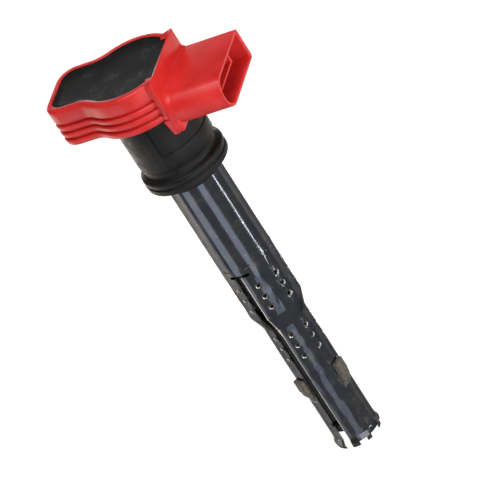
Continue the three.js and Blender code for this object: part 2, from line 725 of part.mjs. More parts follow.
function plugBoot() {
  const body = revolve(
    [
      point(BOOT_MOUTH, BOOT_BOTTOM),
      point(BOOT_OUTER, BOOT_BOTTOM),
      point(BOOT_OUTER, BOOT_TOP),
      point(BOOT_SOCKET, BOOT_TOP),
      point(BOOT_SOCKET, BOOT_SOCKET_BOTTOM),
      point(BOOT_PASSAGE, BOOT_SOCKET_BOTTOM),
      point(BOOT_PASSAGE, BOOT_PASSAGE_BOTTOM),
      point(BOOT_BORE, BOOT_BORE_TOP),
      point(BOOT_BORE, BOOT_BOTTOM + BOOT_MOUTH_HEIGHT),
    ],
    40,
  );
  const drill = pipe(VENT.radius, 0, 2, 12, 12).scale([VENT.stretch, 1, 1]).rotate([0, 90, 0]);
  return cut(join(body, ...bootPads()), drill.translate([0, 0, VENT.z]).rotate([0, 0, VENT.angle]));
}

// ---------------------------------------------------------------------------------------------
// Assembly
// ---------------------------------------------------------------------------------------------

const RED = 0xd8322f;
const BLACK = 0x242423;
const RUBBER = 0x2c2c2b;
const STEEL = 0x33363b;
const TIN = 0xc9cbc8;
const COPPER = 0xb5622f;
const BRASS = 0xc2a050;
const MAGNET = 0x4a4b4d;

addPiece("head_housing", headHousing(), RED, 0.4);
addPiece("connector_body", connectorBody(), RED, 0.4);
pinYs.forEach((y, index) => addPiece(`terminal_pin_${index + 1}`, terminalPin(y), TIN, 0.3, 1));
addPiece("potting", potting(), 0x1d1d1b, 0.35);
addPiece("heat_spreader", centred(SPREADER), 0xb9bcbe, 0.4, 1);
addPiece("driver_board", centred(BOARD), 0xe6e3da, 0.6);
addPiece("power_transistor", centred(TRANSISTOR), BLACK, 0.5);
addPiece("control_chip", centred(CHIP), BLACK, 0.5);
CAPACITOR_YS.forEach((y, index) =>
  addPiece(`capacitor_${index + 1}`, centred({ ...CAPACITOR, y }), 0xa98b62, 0.5),
);
addPiece("well_seal", wellSeal(), RUBBER, 0.75);
addPiece("outer_shield", outerShield(), STEEL, 0.25, 0.9);
addPiece("inner_shield", innerShield(), STEEL, 0.3, 0.9);
addPiece("coil_case", coilCase(), BLACK, 0.5);
addPiece("primary_bobbin", bobbin(PRIMARY), 0xe4ded0, 0.5);
addPiece("primary_winding", winding(PRIMARY), COPPER, 0.35, 0.8);
LEAD_ANGLES.forEach((angle, index) =>
  addPiece(`primary_lead_${index + 1}`, primaryLead(angle), COPPER, 0.35, 0.8),
);
addPiece("secondary_bobbin", bobbin(SECONDARY), 0xe4ded0, 0.5);
addPiece("secondary_winding", winding(SECONDARY), COPPER, 0.35, 0.8);
addPiece("iron_core", ironCore(), 0x5a5c5e, 0.5, 1);
addPiece("core_sleeve", pipe(SLEEVE.outer, SLEEVE.inner, CORE_BOTTOM, CORE_TOP, SMALL_ROUND), BLACK, 0.6);
const magnetTopZ = CORE_TOP + GAP + MAGNET_HEIGHT;
const magnetLowZ = CORE_BOTTOM - GAP - MAGNET_HEIGHT;
const upperMagnet = pipe(CORE_RADIUS, 0, CORE_TOP + GAP, magnetTopZ, SMALL_ROUND);
const lowerMagnet = pipe(CORE_RADIUS, 0, magnetLowZ, CORE_BOTTOM - GAP, SMALL_ROUND);
addPiece("upper_magnet", upperMagnet, MAGNET, 0.45, 0.6);
addPiece("lower_magnet", lowerMagnet, MAGNET, 0.45, 0.6);
addPiece(
  "upper_buffer",
  pipe(CORE_RADIUS, 0, magnetTopZ + GAP, magnetTopZ + GAP + BUFFER_HEIGHT, SMALL_ROUND),
  RUBBER,
  0.8,
);
addPiece(
  "lower_buffer",
  pipe(CORE_RADIUS, 0, magnetLowZ - GAP - BUFFER_HEIGHT, magnetLowZ - GAP, SMALL_ROUND),
  RUBBER,
  0.8,
);
addPiece("hv_terminal", hvTerminal(), BRASS, 0.3, 1);
addPiece("suppressor_resistor", suppressorResistor(), 0x8a6a4c, 0.6);
addPiece("contact_spring", contactSpring(), 0xb9bcbe, 0.3, 1);
addPiece("contact_cup", contactCup(), BRASS, 0.3, 1);
addPiece("plug_boot", plugBoot(), RUBBER, 0.8);

export default root;
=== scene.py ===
# %% [markdown]
# # A pencil-type ignition coil
#
# The coil has four visible parts: a red moulded head with a cable socket, a black rubber seal, a
# rolled steel tube and a rubber boot inside it. The CAD model gives every size and place. This
# lesson gives the same parts their rounded edges, pressed details and finishes.
# All work is in millimetres, and each piece is turned to metres when it is finished.

import json
import math

import bmesh
import bpy
from mathutils import Matrix, Vector


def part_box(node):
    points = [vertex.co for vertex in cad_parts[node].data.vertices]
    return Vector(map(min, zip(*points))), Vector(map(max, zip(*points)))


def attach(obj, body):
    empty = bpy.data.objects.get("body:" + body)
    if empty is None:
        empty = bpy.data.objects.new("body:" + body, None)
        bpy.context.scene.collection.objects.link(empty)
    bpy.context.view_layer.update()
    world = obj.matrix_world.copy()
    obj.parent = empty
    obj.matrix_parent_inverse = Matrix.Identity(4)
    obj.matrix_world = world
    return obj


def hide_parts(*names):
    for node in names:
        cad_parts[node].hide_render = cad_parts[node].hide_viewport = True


MM = 0.001
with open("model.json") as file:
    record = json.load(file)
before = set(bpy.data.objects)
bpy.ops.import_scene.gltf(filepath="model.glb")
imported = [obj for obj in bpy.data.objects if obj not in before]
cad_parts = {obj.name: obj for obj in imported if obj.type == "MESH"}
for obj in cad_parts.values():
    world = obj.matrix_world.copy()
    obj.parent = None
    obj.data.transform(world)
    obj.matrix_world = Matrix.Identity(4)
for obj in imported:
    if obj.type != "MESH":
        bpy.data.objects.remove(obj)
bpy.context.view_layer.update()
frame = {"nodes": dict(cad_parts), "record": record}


def box_mm(node):
    """Lowest and highest corner of a CAD node, in millimetres."""
    return tuple(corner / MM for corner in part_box(node))


# %% [markdown]
# ## Finishes
#
# Each finish starts from what the real material is. Colours are written as sRGB hex values, as on
# a colour card, and one function turns them to linear light. A second one adds a node: a number or
# a colour sets an input, a (node, output) pair links it, and the result may feed a socket.

# %% Colour and node helpers


def hex_colour(code):
    """An sRGB hex value as linear RGBA."""
    channels = [int(code[i : i + 2], 16) / 255 for i in (1, 3, 5)]
    linear = [c / 12.92 if c <= 0.04045 else ((c + 0.055) / 1.055) ** 2.4 for c in channels]
    return (*linear, 1.0)


def add_node(material, kind, inputs=None, feeds=None, stops=None, **settings):
    """Adds one node with its settings, inputs and links."""
    tree = material.node_tree
    node = tree.nodes.new("ShaderNode" + kind)
    for key, value in settings.items():
        setattr(node, key, value)
    for key, value in (inputs or {}).items():
        if isinstance(value, tuple) and isinstance(value[0], bpy.types.Node):
            tree.links.new(value[0].outputs[value[1]], node.inputs[key])
        else:
            node.inputs[key].default_value = value
    if stops:
        elements = node.color_ramp.elements
        while len(elements) < len(stops):
            elements.new(0.5)
        for element, (position, code) in zip(elements, stops):
            element.position = position
            element.color = hex_colour(code)
    if feeds:
        tree.links.new(node.outputs[0], feeds[0].inputs[feeds[1]])
    return node


def new_finish(name, values):
    """A material with its Principled shader, and its object coordinates in millimetres."""
    material = bpy.data.materials.new(name)
    material.use_nodes = True
    shader = material.node_tree.nodes["Principled BSDF"]
    for key, value in values.items():
        shader.inputs[key].default_value = value
    place = add_node(material, "TexCoord")
    at = add_node(
        material, "VectorMath", {0: (place, "Object"), "Scale": 1 / MM}, operation="SCALE"
    )
    return material, shader, at


def grained_finish(name, values, colours, spacing_mm, gloss, relief_mm, stretch=(1, 1, 1)):
    """A finish whose colour, gloss and relief all follow one grain of a real size."""
    material, shader, at = new_finish(name, values)
    drawn = add_node(material, "VectorMath", {0: (at, 0), 1: stretch}, operation="MULTIPLY")
    grain = add_node(
        material, "TexNoise", {"Vector": (drawn, 0), "Scale": 1 / spacing_mm, "Detail": 3.0}
    )
    stops = [(0.3, colours[0]), (0.7, colours[1])]
    add_node(material, "ValToRGB", {"Fac": (grain, 0)}, (shader, "Base Color"), stops)
    spread = {"From Min": 0.3, "From Max": 0.7, "To Min": gloss[0], "To Max": gloss[1]}
    add_node(material, "MapRange", {"Value": (grain, 0), **spread}, (shader, "Roughness"))
    add_node(
        material, "Bump", {"Height": (grain, 0), "Distance": relief_mm * MM}, (shader, "Normal")
    )
    return material


# %% [markdown]
# ### Red moulded plastic
#
# The head and the socket are injection-moulded PBT, a tough engineering plastic dyed red right
# through. The mould leaves a satin skin: an even grain of about 0.2 mm that blurs the reflections.
# Slow changes in colour and gloss, about 9 mm apart, come from how the plastic flowed. A little
# light travels inside the plastic, and that softens the shade in the grooves.

# %% Red PBT
red_pbt, shader, at = new_finish(
    "red_pbt_moulded",
    {
        "IOR": 1.5,
        "Specular IOR Level": 0.4,
        "Subsurface Weight": 0.06,
        "Subsurface Radius": (1.0, 0.25, 0.2),
        "Subsurface Scale": 0.001,
    },
)
flow = add_node(red_pbt, "TexNoise", {"Vector": (at, 0), "Scale": 1 / 9, "Detail": 2.0})
flow_colours = [(0.3, "#D02422"), (0.5, "#DA2C2A"), (0.7, "#E03432")]
add_node(red_pbt, "ValToRGB", {"Fac": (flow, 0)}, (shader, "Base Color"), flow_colours)
spread = {"From Min": 0.3, "From Max": 0.7, "To Min": 0.33, "To Max": 0.43}
add_node(red_pbt, "MapRange", {"Value": (flow, 0), **spread}, (shader, "Roughness"))
skin = add_node(red_pbt, "TexNoise", {"Vector": (at, 0), "Scale": 1 / 0.2, "Detail": 2.0})
add_node(red_pbt, "Bump", {"Height": (skin, 0), "Distance": 0.008 * MM}, (shader, "Normal"))

# %% [markdown]
# ### Black epoxy
#
# The fill is poured as a liquid and hardens level, so it is smooth and fairly glossy, with a faint
# unevenness about 6 mm across where it shrank as it set.

# %% Epoxy fill
epoxy = grained_finish(
    "black_epoxy_cast",
    {"IOR": 1.5, "Specular IOR Level": 0.35},
    ("#151514", "#1E1E1C"),
    6.0,
    (0.2, 0.3),
    0.03,
)

# %% [markdown]
# ### Rubber
#
# The seal and the boot are moulded silicone rubber. It is nearly black and matt, with a grey bloom
# of fine powder in patches of 2 or 3 mm. The pads have worn to a browner grey.

# %% Black rubber
rubber = grained_finish(
    "black_rubber_moulded",
    {"IOR": 1.5, "Specular IOR Level": 0.22},
    ("#141414", "#1F1F1E"),
    2.5,
    (0.42, 0.6),
    0.04,
)
worn_rubber = grained_finish(
    "black_rubber_worn",
    {"IOR": 1.5, "Specular IOR Level": 0.3},
    ("#4A4640", "#6E6960"),
    0.5,
    (0.6, 0.8),
    0.12,
    (1.0, 0.25, 0.6),
)

# %% [markdown]
# ### Blackened steel
#
# The tube is rolled from cold-rolled strip with a black oxide skin, wiped with oil. It still
# reflects like metal, only about a tenth as brightly. The strip's rolling lines run along the
# tube, so one grain of 0.5 mm is drawn out fifty times in that direction. The sheet isn't quite
# flat where it was punched, so the relief grows below the cross slot and reflections wobble there.
# Small rubbed spots, under a millimetre across, show brighter metal.

# %% Black oxide steel
black_steel, shader, at = new_finish(
    "steel_black_oxide", {"Metallic": 1.0, "Specular Tint": hex_colour("#A8A8A8")}
)
lines_at = add_node(black_steel, "VectorMath", {0: (at, 0), 1: (1, 1, 0.02)}, operation="MULTIPLY")
lines = add_node(
    black_steel, "TexNoise", {"Vector": (lines_at, 0), "Scale": 1 / 0.5, "Detail": 3.0}
)
oil = add_node(black_steel, "TexNoise", {"Vector": (at, 0), "Scale": 1 / 5, "Detail": 3.0})
skin_colours = [(0.3, "#4A4E56"), (0.55, "#525459"), (0.8, "#605E5A")]
skin = add_node(black_steel, "ValToRGB", {"Fac": (oil, 0)}, None, skin_colours)
spots = add_node(black_steel, "TexNoise", {"Vector": (at, 0), "Scale": 1 / 0.9, "Detail": 4.0})
spread = {"From Min": 0.66, "From Max": 0.74, "To Min": 0.0, "To Max": 0.55}
rubbed = add_node(black_steel, "MapRange", {"Value": (spots, 0), **spread})
base = add_node(
    black_steel,
    "Mix",
    {0: (rubbed, 0), 6: (skin, 0), 7: hex_colour("#A9A8A4")},
    data_type="RGBA",
)
black_steel.node_tree.links.new(base.outputs[2], shader.inputs["Base Color"])
mixed = add_node(black_steel, "Math", {0: (lines, 0), 1: (oil, 0)}, operation="MULTIPLY")
spread = {"From Min": 0.12, "From Max": 0.4, "To Min": 0.09, "To Max": 0.2}
add_node(black_steel, "MapRange", {"Value": (mixed, 0), **spread}, (shader, "Roughness"))
drawn = add_node(black_steel, "VectorMath", {0: (at, 0), 1: (1.0, 1.0, 0.4)}, operation="MULTIPLY")
dents = add_node(black_steel, "TexNoise", {"Vector": (drawn, 0), "Scale": 1 / 3.2, "Detail": 1.0})
height = add_node(black_steel, "SeparateXYZ", {"Vector": (at, 0)})
spread = {"From Min": -46.0, "From Max": -36.0, "To Min": 1.0, "To Max": 0.05}
punched = add_node(black_steel, "MapRange", {"Value": (height, "Z"), **spread})
wobble = add_node(black_steel, "Math", {0: (dents, 0), 1: (punched, 0)}, operation="MULTIPLY")
add_node(black_steel, "Bump", {"Height": (wobble, 0), "Distance": 0.36 * MM}, (shader, "Normal"))

# %% [markdown]
# ### Finishes of the smaller parts
#
# A sheared edge has no oxide and shows grey steel, dragged into fine lines by the tool. The other
# parts are mostly out of sight, inside the resin and the tube, and each gets the grain of its own
# process: drawn wire, stamped strip, turned brass, fired ceramic, sintered magnet. The table is
# keyed by material slot, with each finish's colours, grain in millimetres, gloss and relief.

# %% Steel edge and inner parts
cut_steel = grained_finish(
    "steel_sheared_edge",
    {"Metallic": 1.0},
    ("#A8A69E", "#DAD9D2"),
    0.15,
    (0.28, 0.4),
    0.01,
    (1.0, 1.0, 0.3),
)
# Painted shade: the inner shield shows through the tube's holes, and it gets a near-black matt steel,
# darker than the tube, so that the holes look dark.
hole_shade_steel = grained_finish(
    "steel_dark_hole_shade", {"Metallic": 0.5}, ("#0E0E0F", "#1B1B1B"), 0.6, (0.6, 0.75), 0.01
)
METAL = {"Metallic": 1.0}
SMALL_PARTS = {
    "tinned_metal": ("bronze_tinned", METAL, ("#B5B7B4", "#D2D4D1"), 0.3, (0.2, 0.35), 0.003),
    "brass": ("brass_turned", METAL, ("#B08F45", "#C9A956"), 0.15, (0.22, 0.34), 0.004, (0.2, 0.2, 1)),
    "spring_steel": ("steel_spring_wire", METAL, ("#A5A6A8", "#C6C7C8"), 0.2, (0.2, 0.35), 0.004),
    "aluminium": ("aluminium_stamped", METAL, ("#A9ABAD", "#C4C6C8"), 0.4, (0.3, 0.45), 0.005, (1, 0.1, 1)),
    "core_steel": (
        "electrical_steel_strips", METAL, ("#4C4E50", "#686A6C"), 0.5, (0.4, 0.55), 0.006, (1, 1, 0.02)
    ),
    "magnet": ("ferrite_sintered", {"Metallic": 0.4}, ("#3C3D3F", "#525355"), 0.3, (0.4, 0.55), 0.01),
    "black_plastic": ("black_pbt_moulded", {"IOR": 1.5}, ("#1B1B1B", "#272726"), 1.5, (0.4, 0.55), 0.01),
    "cream_plastic": ("natural_ppe_moulded", {"IOR": 1.57}, ("#DAD4C5", "#E8E3D6"), 3.0, (0.4, 0.5), 0.01),
    "ceramic": ("alumina_board", {"IOR": 1.76}, ("#DFDCD3", "#EBE9E1"), 0.4, (0.45, 0.6), 0.01),
    "chip_plastic": ("epoxy_chip_case", {"IOR": 1.55}, ("#1A1A1A", "#262626"), 0.25, (0.5, 0.65), 0.012),
    "chip_capacitor": ("capacitor_ceramic", {"IOR": 1.7}, ("#9C7F58", "#B4976B"), 0.3, (0.35, 0.5), 0.008),
    "wound_body": ("resistor_coat", {"IOR": 1.5}, ("#7C5E42", "#96765A"), 0.5, (0.45, 0.6), 0.015),
}
slot_finishes = {slot: grained_finish(*settings) for slot, settings in SMALL_PARTS.items()}

# %% [markdown]
# A winding is hundreds of turns of enamelled copper wire side by side. Rings of one wire's width, about 0.5
# mm so that they show, stand for the turns. Their colour is painted darker in the valleys between them as
# shade between the wires, and a bump gives them their relief.

# %% Copper winding
copper, shader, at = new_finish(
    "copper_wire_enamelled", {"Metallic": 1.0, "Base Color": hex_colour("#B5622F"), "Roughness": 0.3}
)
height = add_node(copper, "SeparateXYZ", {"Vector": (at, 0)})
phase = add_node(copper, "Math", {0: (height, "Z"), 1: 2 * math.pi / 0.5}, operation="MULTIPLY")
turns = add_node(copper, "Math", {0: (phase, 0)}, operation="SINE")
shift = {"From Min": -1.0, "From Max": 1.0}
depth = add_node(copper, "MapRange", {"Value": (turns, 0), **shift})
# Painted shade: dark copper in the valleys between the turns, lighter copper on their crowns.
turn_shade_colours = [(0.0, "#7A3A18"), (0.8, "#C4713A")]
add_node(copper, "ValToRGB", {"Fac": (depth, 0)}, (shader, "Base Color"), turn_shade_colours)
add_node(copper, "Bump", {"Height": (depth, 0), "Distance": 0.1 * MM}, (shader, "Normal"))

# %% [markdown]
# Every CAD node gets its finish by its material slot, except the inner shield. It gets a near-black matt
# steel as painted shade for the holes through the tube. The pieces built below replace some of them.

# %% Give the finishes to the CAD nodes
slot_finishes |= {
    "dark_steel": black_steel,
    "copper_wire": copper,
    "rubber": rubber,
    "red_plastic": red_pbt,
    "black_resin": epoxy,
}
for part in frame["record"]["subparts"]:
    node = frame["nodes"][part["node"]]
    node.data.materials.clear()
    # The inner shield takes the near-black steel as painted shade in the holes.
    inside = part["node"] == "inner_shield"
    node.data.materials.append(hole_shade_steel if inside else slot_finishes[part["material_slot"]])
print("finishes:", len(slot_finishes))

# %% [markdown]
# ## Modelling helpers
#
# A profile is drawn as corners with a rounding radius, as a draughtsman would, and one function
# turns it into points. Another one turns a finished bmesh into an object that rides on a body.
# The smallest ones pick the new points, edges and faces out of what an operator has made.

# %% Profiles and finished pieces


def rounded(corners, steps=4):
    """Points of a line whose corners (u, v, radius) are rounded with true arcs."""
    points = []
    for index, (u, v, radius) in enumerate(corners):
        here = Vector((u, v))
        if radius <= 0 or index in (0, len(corners) - 1):
            points.append(here)
            continue
        before = Vector(corners[index - 1][:2]) - here
        after = Vector(corners[index + 1][:2]) - here
        half = before.angle(after) / 2
        reach = min(radius / math.tan(half), 0.49 * before.length, 0.49 * after.length)
        radius = reach * math.tan(half)
        bisector = (before.normalized() + after.normalized()).normalized()
        middle = here + bisector * radius / math.sin(half)
        first = here + before.normalized() * reach - middle
        last = here + after.normalized() * reach - middle
        sweep = first.angle_signed(last)
        for step in range(steps + 1):
            points.append(middle + Matrix.Rotation(-sweep * step / steps, 2) @ first)
    return points


def turned(bm, points, segments=96, sweep=2 * math.pi, start=0.0):
    """Spins a profile of (radius, z) points about the coil's axis."""
    line = [bm.verts.new((p[0], 0, p[1])) for p in points]
    edges = [bm.edges.new(pair) for pair in zip(line, line[1:])]
    whole = abs(sweep - 2 * math.pi) < 1e-6
    bmesh.ops.rotate(bm, verts=line, cent=(0, 0, 0), matrix=Matrix.Rotation(start, 3, "Z"))
    bmesh.ops.spin(
        bm,
        geom=line + edges,
        axis=(0, 0, 1),
        cent=(0, 0, 0),
        angle=sweep,
        steps=segments,
        use_merge=whole,
    )


def verts_of(made):
    """The points among what an operator made."""
    return [g for g in made if isinstance(g, bmesh.types.BMVert)]


def faces_of(made):
    """The faces among what an operator made."""
    return [g for g in made if isinstance(g, bmesh.types.BMFace)]


def edges_between(made, verts):
    """The edges among what an operator made that join two of some points."""
    verts = set(verts)
    return [g for g in made if isinstance(g, bmesh.types.BMEdge) and set(g.verts) <= verts]


def extruded(bm, faces, shift):
    """Extrudes faces, moves the new ones and returns them."""
    made = bmesh.ops.extrude_face_region(bm, geom=faces)["geom"]
    bmesh.ops.translate(bm, vec=shift, verts=verts_of(made))
    return faces_of(made)


def finish_piece(bm, name, finishes, body="coil", stands_for=(), sharp_degrees=40):
    """Merges doubles, turns faces outwards, shades smoothly and hands the piece to its body."""
    bmesh.ops.scale(bm, vec=(MM, MM, MM), verts=bm.verts)
    bmesh.ops.remove_doubles(bm, verts=bm.verts, dist=1e-7)
    bmesh.ops.dissolve_degenerate(bm, edges=bm.edges, dist=1e-8)
    bmesh.ops.recalc_face_normals(bm, faces=bm.faces)
    for face in bm.faces:
        face.smooth = True
    mesh = bpy.data.meshes.new(name)
    bm.to_mesh(mesh)
    bm.free()
    mesh.set_sharp_from_angle(angle=math.radians(sharp_degrees))
    for finish in finishes:
        mesh.materials.append(finish)
    piece = bpy.data.objects.new(name, mesh)
    bpy.context.scene.collection.objects.link(piece)
    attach(piece, body)
    if stands_for:
        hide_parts(*stands_for)
    print(name, len(mesh.polygons), "faces")
    return piece


# %% [markdown]
# ## The head
#
# The head is a pan shaped like a boat: a round part over the tube and a narrower lobe. Its outline
# is made of arcs that meet without a corner. The same outline drawn a little smaller gives every
# level of the wall, so the wall is a line of edges extruded from level to level, first up the
# inside, over the rim and down the outside through the three cooling grooves.

# %% Outline of the pan
head_low, head_high = box_mm("head_housing")
HEAD_TOP = head_high.z
HEAD_BOTTOM = 30.2
HEAD_RADIUS = 20.0
HEAD_WALL = 2.6
LOBE_HALF_WIDTH = 14.0
LOBE_END_X = head_low.x
LOBE_CORNER = 7.5
LOBE_BLEND = 10.0
PLATE_BACK = box_mm("connector_body")[0].x
PLATE_HALF = 17.2
WALL_END = 13.95
blend_y = LOBE_HALF_WIDTH + LOBE_BLEND
blend_x = -math.sqrt((HEAD_RADIUS + LOBE_BLEND) ** 2 - blend_y**2)


def arc(x, y, radius, start, end, steps):
    """Points of an arc, without its last one."""
    angles = [start + (end - start) * step / steps for step in range(steps)]
    return [(x + radius * math.cos(a), y + radius * math.sin(a)) for a in angles]


def pan_outline(inset):
    """Outline of the pan from the socket plate at +Y round the lobe to the plate at -Y."""
    radius, blend, corner = HEAD_RADIUS - inset, LOBE_BLEND + inset, LOBE_CORNER - inset
    start = math.acos((PLATE_BACK + 0.1) / radius)
    turn = math.atan2(blend_y, blend_x)
    half = [(WALL_END, PLATE_HALF - 0.05 - inset), (12.6, PLATE_HALF - 0.28 - inset)]
    half += arc(0, 0, radius, start, turn, 22)
    half += arc(blend_x, blend_y, blend, turn - math.pi, -math.pi / 2, 9)
    corner_y = LOBE_HALF_WIDTH - LOBE_CORNER
    half += arc(LOBE_END_X + LOBE_CORNER, corner_y, corner, math.pi / 2, math.pi, 9)
    half += [(LOBE_END_X + inset, corner_y)]
    return half + [(x, -y) for x, y in reversed(half)]


print("outline points:", len(pan_outline(0)))

# %% [markdown]
# The wall's section goes up the inside, over the rim and down the outside. The grooves fade out
# over the last points beside the plate. Three faces close the wall: one over the first outline,
# one over the last, and one on the side of the plate.

# %% Wall of the pan
FILL_FLOOR = 42.0
GROOVES = [(32.6, 33.9), (35.7, 37.0), (38.8, 40.1)]
GROOVE_DEPTH = 1.2

wall_line = [(HEAD_WALL, FILL_FLOOR, 0), (HEAD_WALL, HEAD_TOP, 0.3), (0, HEAD_TOP, 1.4)]
for low, high in reversed(GROOVES):
    wall_line += [(0, high, 0.5), (GROOVE_DEPTH, high - 0.12, 0.35)]
    wall_line += [(GROOVE_DEPTH, low + 0.12, 0.35), (0, low, 0.5)]
wall_line += [(0, HEAD_BOTTOM, 1.1), (2.0, HEAD_BOTTOM, 0)]


def raise_ring(bm, ring, edges, points):
    """Extrudes a line of edges and moves the new points to their places, in the same order."""
    made = bmesh.ops.extrude_edge_only(bm, edges=edges)["geom"]
    fresh = set(verts_of(made))
    new_ring = [next(e.other_vert(v) for e in v.link_edges if e.other_vert(v) in fresh) for v in ring]
    for vert, place in zip(new_ring, points):
        vert.co = place
    return new_ring, edges_between(made, fresh)


def level(inset, z):
    """The pan's outline at one level of the wall, where the grooves fade out by the plate."""
    plain, deep = pan_outline(0), pan_outline(inset)
    if not GROOVES[0][0] - 0.6 < z < GROOVES[-1][1] + 0.6:
        return [(x, y, z) for x, y in deep]
    points = []
    for place, (near, far) in enumerate(zip(plain, deep)):
        from_end = min(place, len(plain) - 1 - place)
        share = (0.0, 0.0, 0.5, 0.9)[from_end] if from_end < 4 else 1.0
        x, y = (a + (b - a) * share for a, b in zip(near, far))
        points.append((x, y, z))
    return points


pan = bmesh.new()
line = rounded(wall_line)
ring = [pan.verts.new(p) for p in level(*line[0])]
first_ring = ring
edges = [pan.edges.new(pair) for pair in zip(ring, ring[1:])]
side_a, side_b = [ring[0]], [ring[-1]]
for inset, z in line[1:]:
    ring, edges = raise_ring(pan, ring, edges, level(inset, z))
    side_a.append(ring[0])
    side_b.append(ring[-1])
pan.faces.new(first_ring)
pan.faces.new(ring)
pan.faces.new(side_a + side_b[::-1])

# %% [markdown]
# Under the pan a short neck carries the seal. Only its top edge shows, so it is a plain turned
# ring that starts inside the floor.

# %% Neck under the pan
NECK_OUTER, NECK_INNER, NECK_FOOT = 12.6, 11.4, 8.2
neck_line = [
    (NECK_OUTER, HEAD_BOTTOM + 0.5),
    (NECK_OUTER, NECK_FOOT),
    (NECK_INNER, NECK_FOOT),
    (NECK_INNER, HEAD_BOTTOM + 0.5),
    (NECK_OUTER, HEAD_BOTTOM + 0.5),
]
turned(pan, neck_line, 64)
finish_piece(pan, "ribbed_head", [red_pbt], stands_for=["head_housing"], sharp_degrees=50)

# %% [markdown]
# ## The socket
#
# A flat plate closes the open side of the pan, and the socket's shroud stands out of it. On the
# real part they are one moulding. The plate is a box whose top is divided in cells: all of them
# but one are extruded upwards, and the one that stays low is the pocket that the fill runs into.

# %% Plate
PLATE_FACE = 14.6
PLATE_BOTTOM = box_mm("connector_body")[0].z
SHROUD_BOTTOM = 25.1
SHROUD_TOP = 38.1
POCKET_X = 13.8
POCKET_HALF = 11.6
POCKET_FLOOR = 34.6


def cleave(bm, point, normal, faces=None):
    """Divides faces, or all of them, along a plane."""
    faces = list(faces if faces is not None else bm.faces)
    geometry = set(faces)
    for face in faces:
        geometry.update(face.edges)
        geometry.update(face.verts)
    bmesh.ops.bisect_plane(bm, geom=list(geometry), dist=1e-5, plane_co=point, plane_no=normal)


def block(bm, low, high):
    """A box between two corners."""
    made = bmesh.ops.create_cube(bm, size=1.0)["verts"]
    size = Vector(high) - Vector(low)
    bmesh.ops.scale(bm, vec=size, verts=made)
    bmesh.ops.translate(bm, vec=(Vector(low) + Vector(high)) / 2, verts=made)
    return made


def soften(bm, edges, width, segments=3):
    """Rounds edges."""
    bmesh.ops.bevel(
        bm,
        geom=list(edges),
        offset=width,
        segments=segments,
        profile=0.5,
        affect="EDGES",
        material=-1,
        clamp_overlap=True,
    )


def corners_of(bm, angle=1.0):
    """Edges where two faces meet at more than an angle."""
    return [e for e in bm.edges if len(e.link_faces) == 2 and e.calc_face_angle(0) > angle]


plate = bmesh.new()
block(plate, (PLATE_BACK, -PLATE_HALF, PLATE_BOTTOM), (PLATE_FACE, PLATE_HALF, POCKET_FLOOR))
for side in (1, -1):
    cleave(plate, (0, side * POCKET_HALF, 0), (0, 1, 0))
cleave(plate, (POCKET_X, 0, 0), (1, 0, 0))
raised = []
for face in plate.faces:
    centre = face.calc_center_median()
    if face.normal.z > 0.9 and (abs(centre.y) > POCKET_HALF or centre.x > POCKET_X):
        raised.append(face)
extruded(plate, raised, (0, 0, HEAD_TOP - POCKET_FLOOR))
bmesh.ops.delete(plate, geom=raised, context="FACES")
soften(plate, [e for e in corners_of(plate) if max(v.co.x for v in e.verts) > POCKET_X], 0.3)
for z in (HEAD_BOTTOM, HEAD_BOTTOM + 0.2):
    cleave(plate, (0, 0, z), (0, 0, 1))
for vert in plate.verts:
    behind = vert.co.x < POCKET_X - 0.2
    if behind and vert.co.z > HEAD_BOTTOM + 0.1 and abs(vert.co.y) > 15:
        vert.co.y = math.copysign(15.2, vert.co.y)
    elif behind and vert.co.z < HEAD_BOTTOM - 1:
        vert.co.x += 1.0

# %% [markdown]
# A fine groove runs down each side of the plate, just behind its front edge, where the two halves
# of the mould met. The strip of the side face is pushed in by 0.3 mm, and the side behind it is
# set back to 17 mm, so that the pan's wall covers it up to the groove.

# %% Mould line
GROOVE_X = (13.98, 14.2)
SET_BACK_HALF = 17.0
for x in GROOVE_X:
    cleave(plate, (x, 0, 0), (1, 0, 0))
strips = []
for face in plate.faces:
    centre = face.calc_center_median()
    if abs(face.normal.y) > 0.9 and GROOVE_X[0] < centre.x < GROOVE_X[1] and abs(centre.y) > 17:
        strips.append(face)
for vert in plate.verts:
    behind = POCKET_X - 0.2 < vert.co.x < GROOVE_X[0] + 0.01
    if behind and vert.co.z > HEAD_BOTTOM and abs(vert.co.y) > SET_BACK_HALF:
        vert.co.y = math.copysign(SET_BACK_HALF, vert.co.y)
grown = bmesh.ops.extrude_face_region(plate, geom=strips)["geom"]
for vert in verts_of(grown):
    vert.co.y -= math.copysign(0.3, vert.co.y)
bmesh.ops.delete(plate, geom=strips, context="FACES")
print("mould line:", len(strips), "faces")

# %% [markdown]
# The shroud has a D-shaped section: strongly rounded on one side and square on the other, so the
# cable plug goes in one way only. Its outline is extruded to the mouth, inset by the wall, and the
# inner face is pushed back to the bottom of the socket.

# %% Shroud
SHROUD_END = box_mm("connector_body")[1].x
SHROUD_HALF = 16.8
SHROUD_WALL = 1.4
SOCKET_BASE = 15.6
BIG_ROUND = 6.3
SMALL_ROUND = 1.6


def shroud_outline():
    """The D-shaped section in (y, z)."""
    side, top, low = SHROUD_HALF, SHROUD_TOP, SHROUD_BOTTOM
    points = arc(side - SMALL_ROUND, top - SMALL_ROUND, SMALL_ROUND, 0, math.pi / 2, 6)
    points += [(side - SMALL_ROUND, top)]
    points += arc(BIG_ROUND - side, top - BIG_ROUND, BIG_ROUND, math.pi / 2, math.pi, 12)
    points += arc(BIG_ROUND - side, low + BIG_ROUND, BIG_ROUND, math.pi, 1.5 * math.pi, 12)
    points += [(BIG_ROUND - side, low)]
    points += arc(side - SMALL_ROUND, low + SMALL_ROUND, SMALL_ROUND, 1.5 * math.pi, 2 * math.pi, 6)
    return points + [(side, low + SMALL_ROUND)]


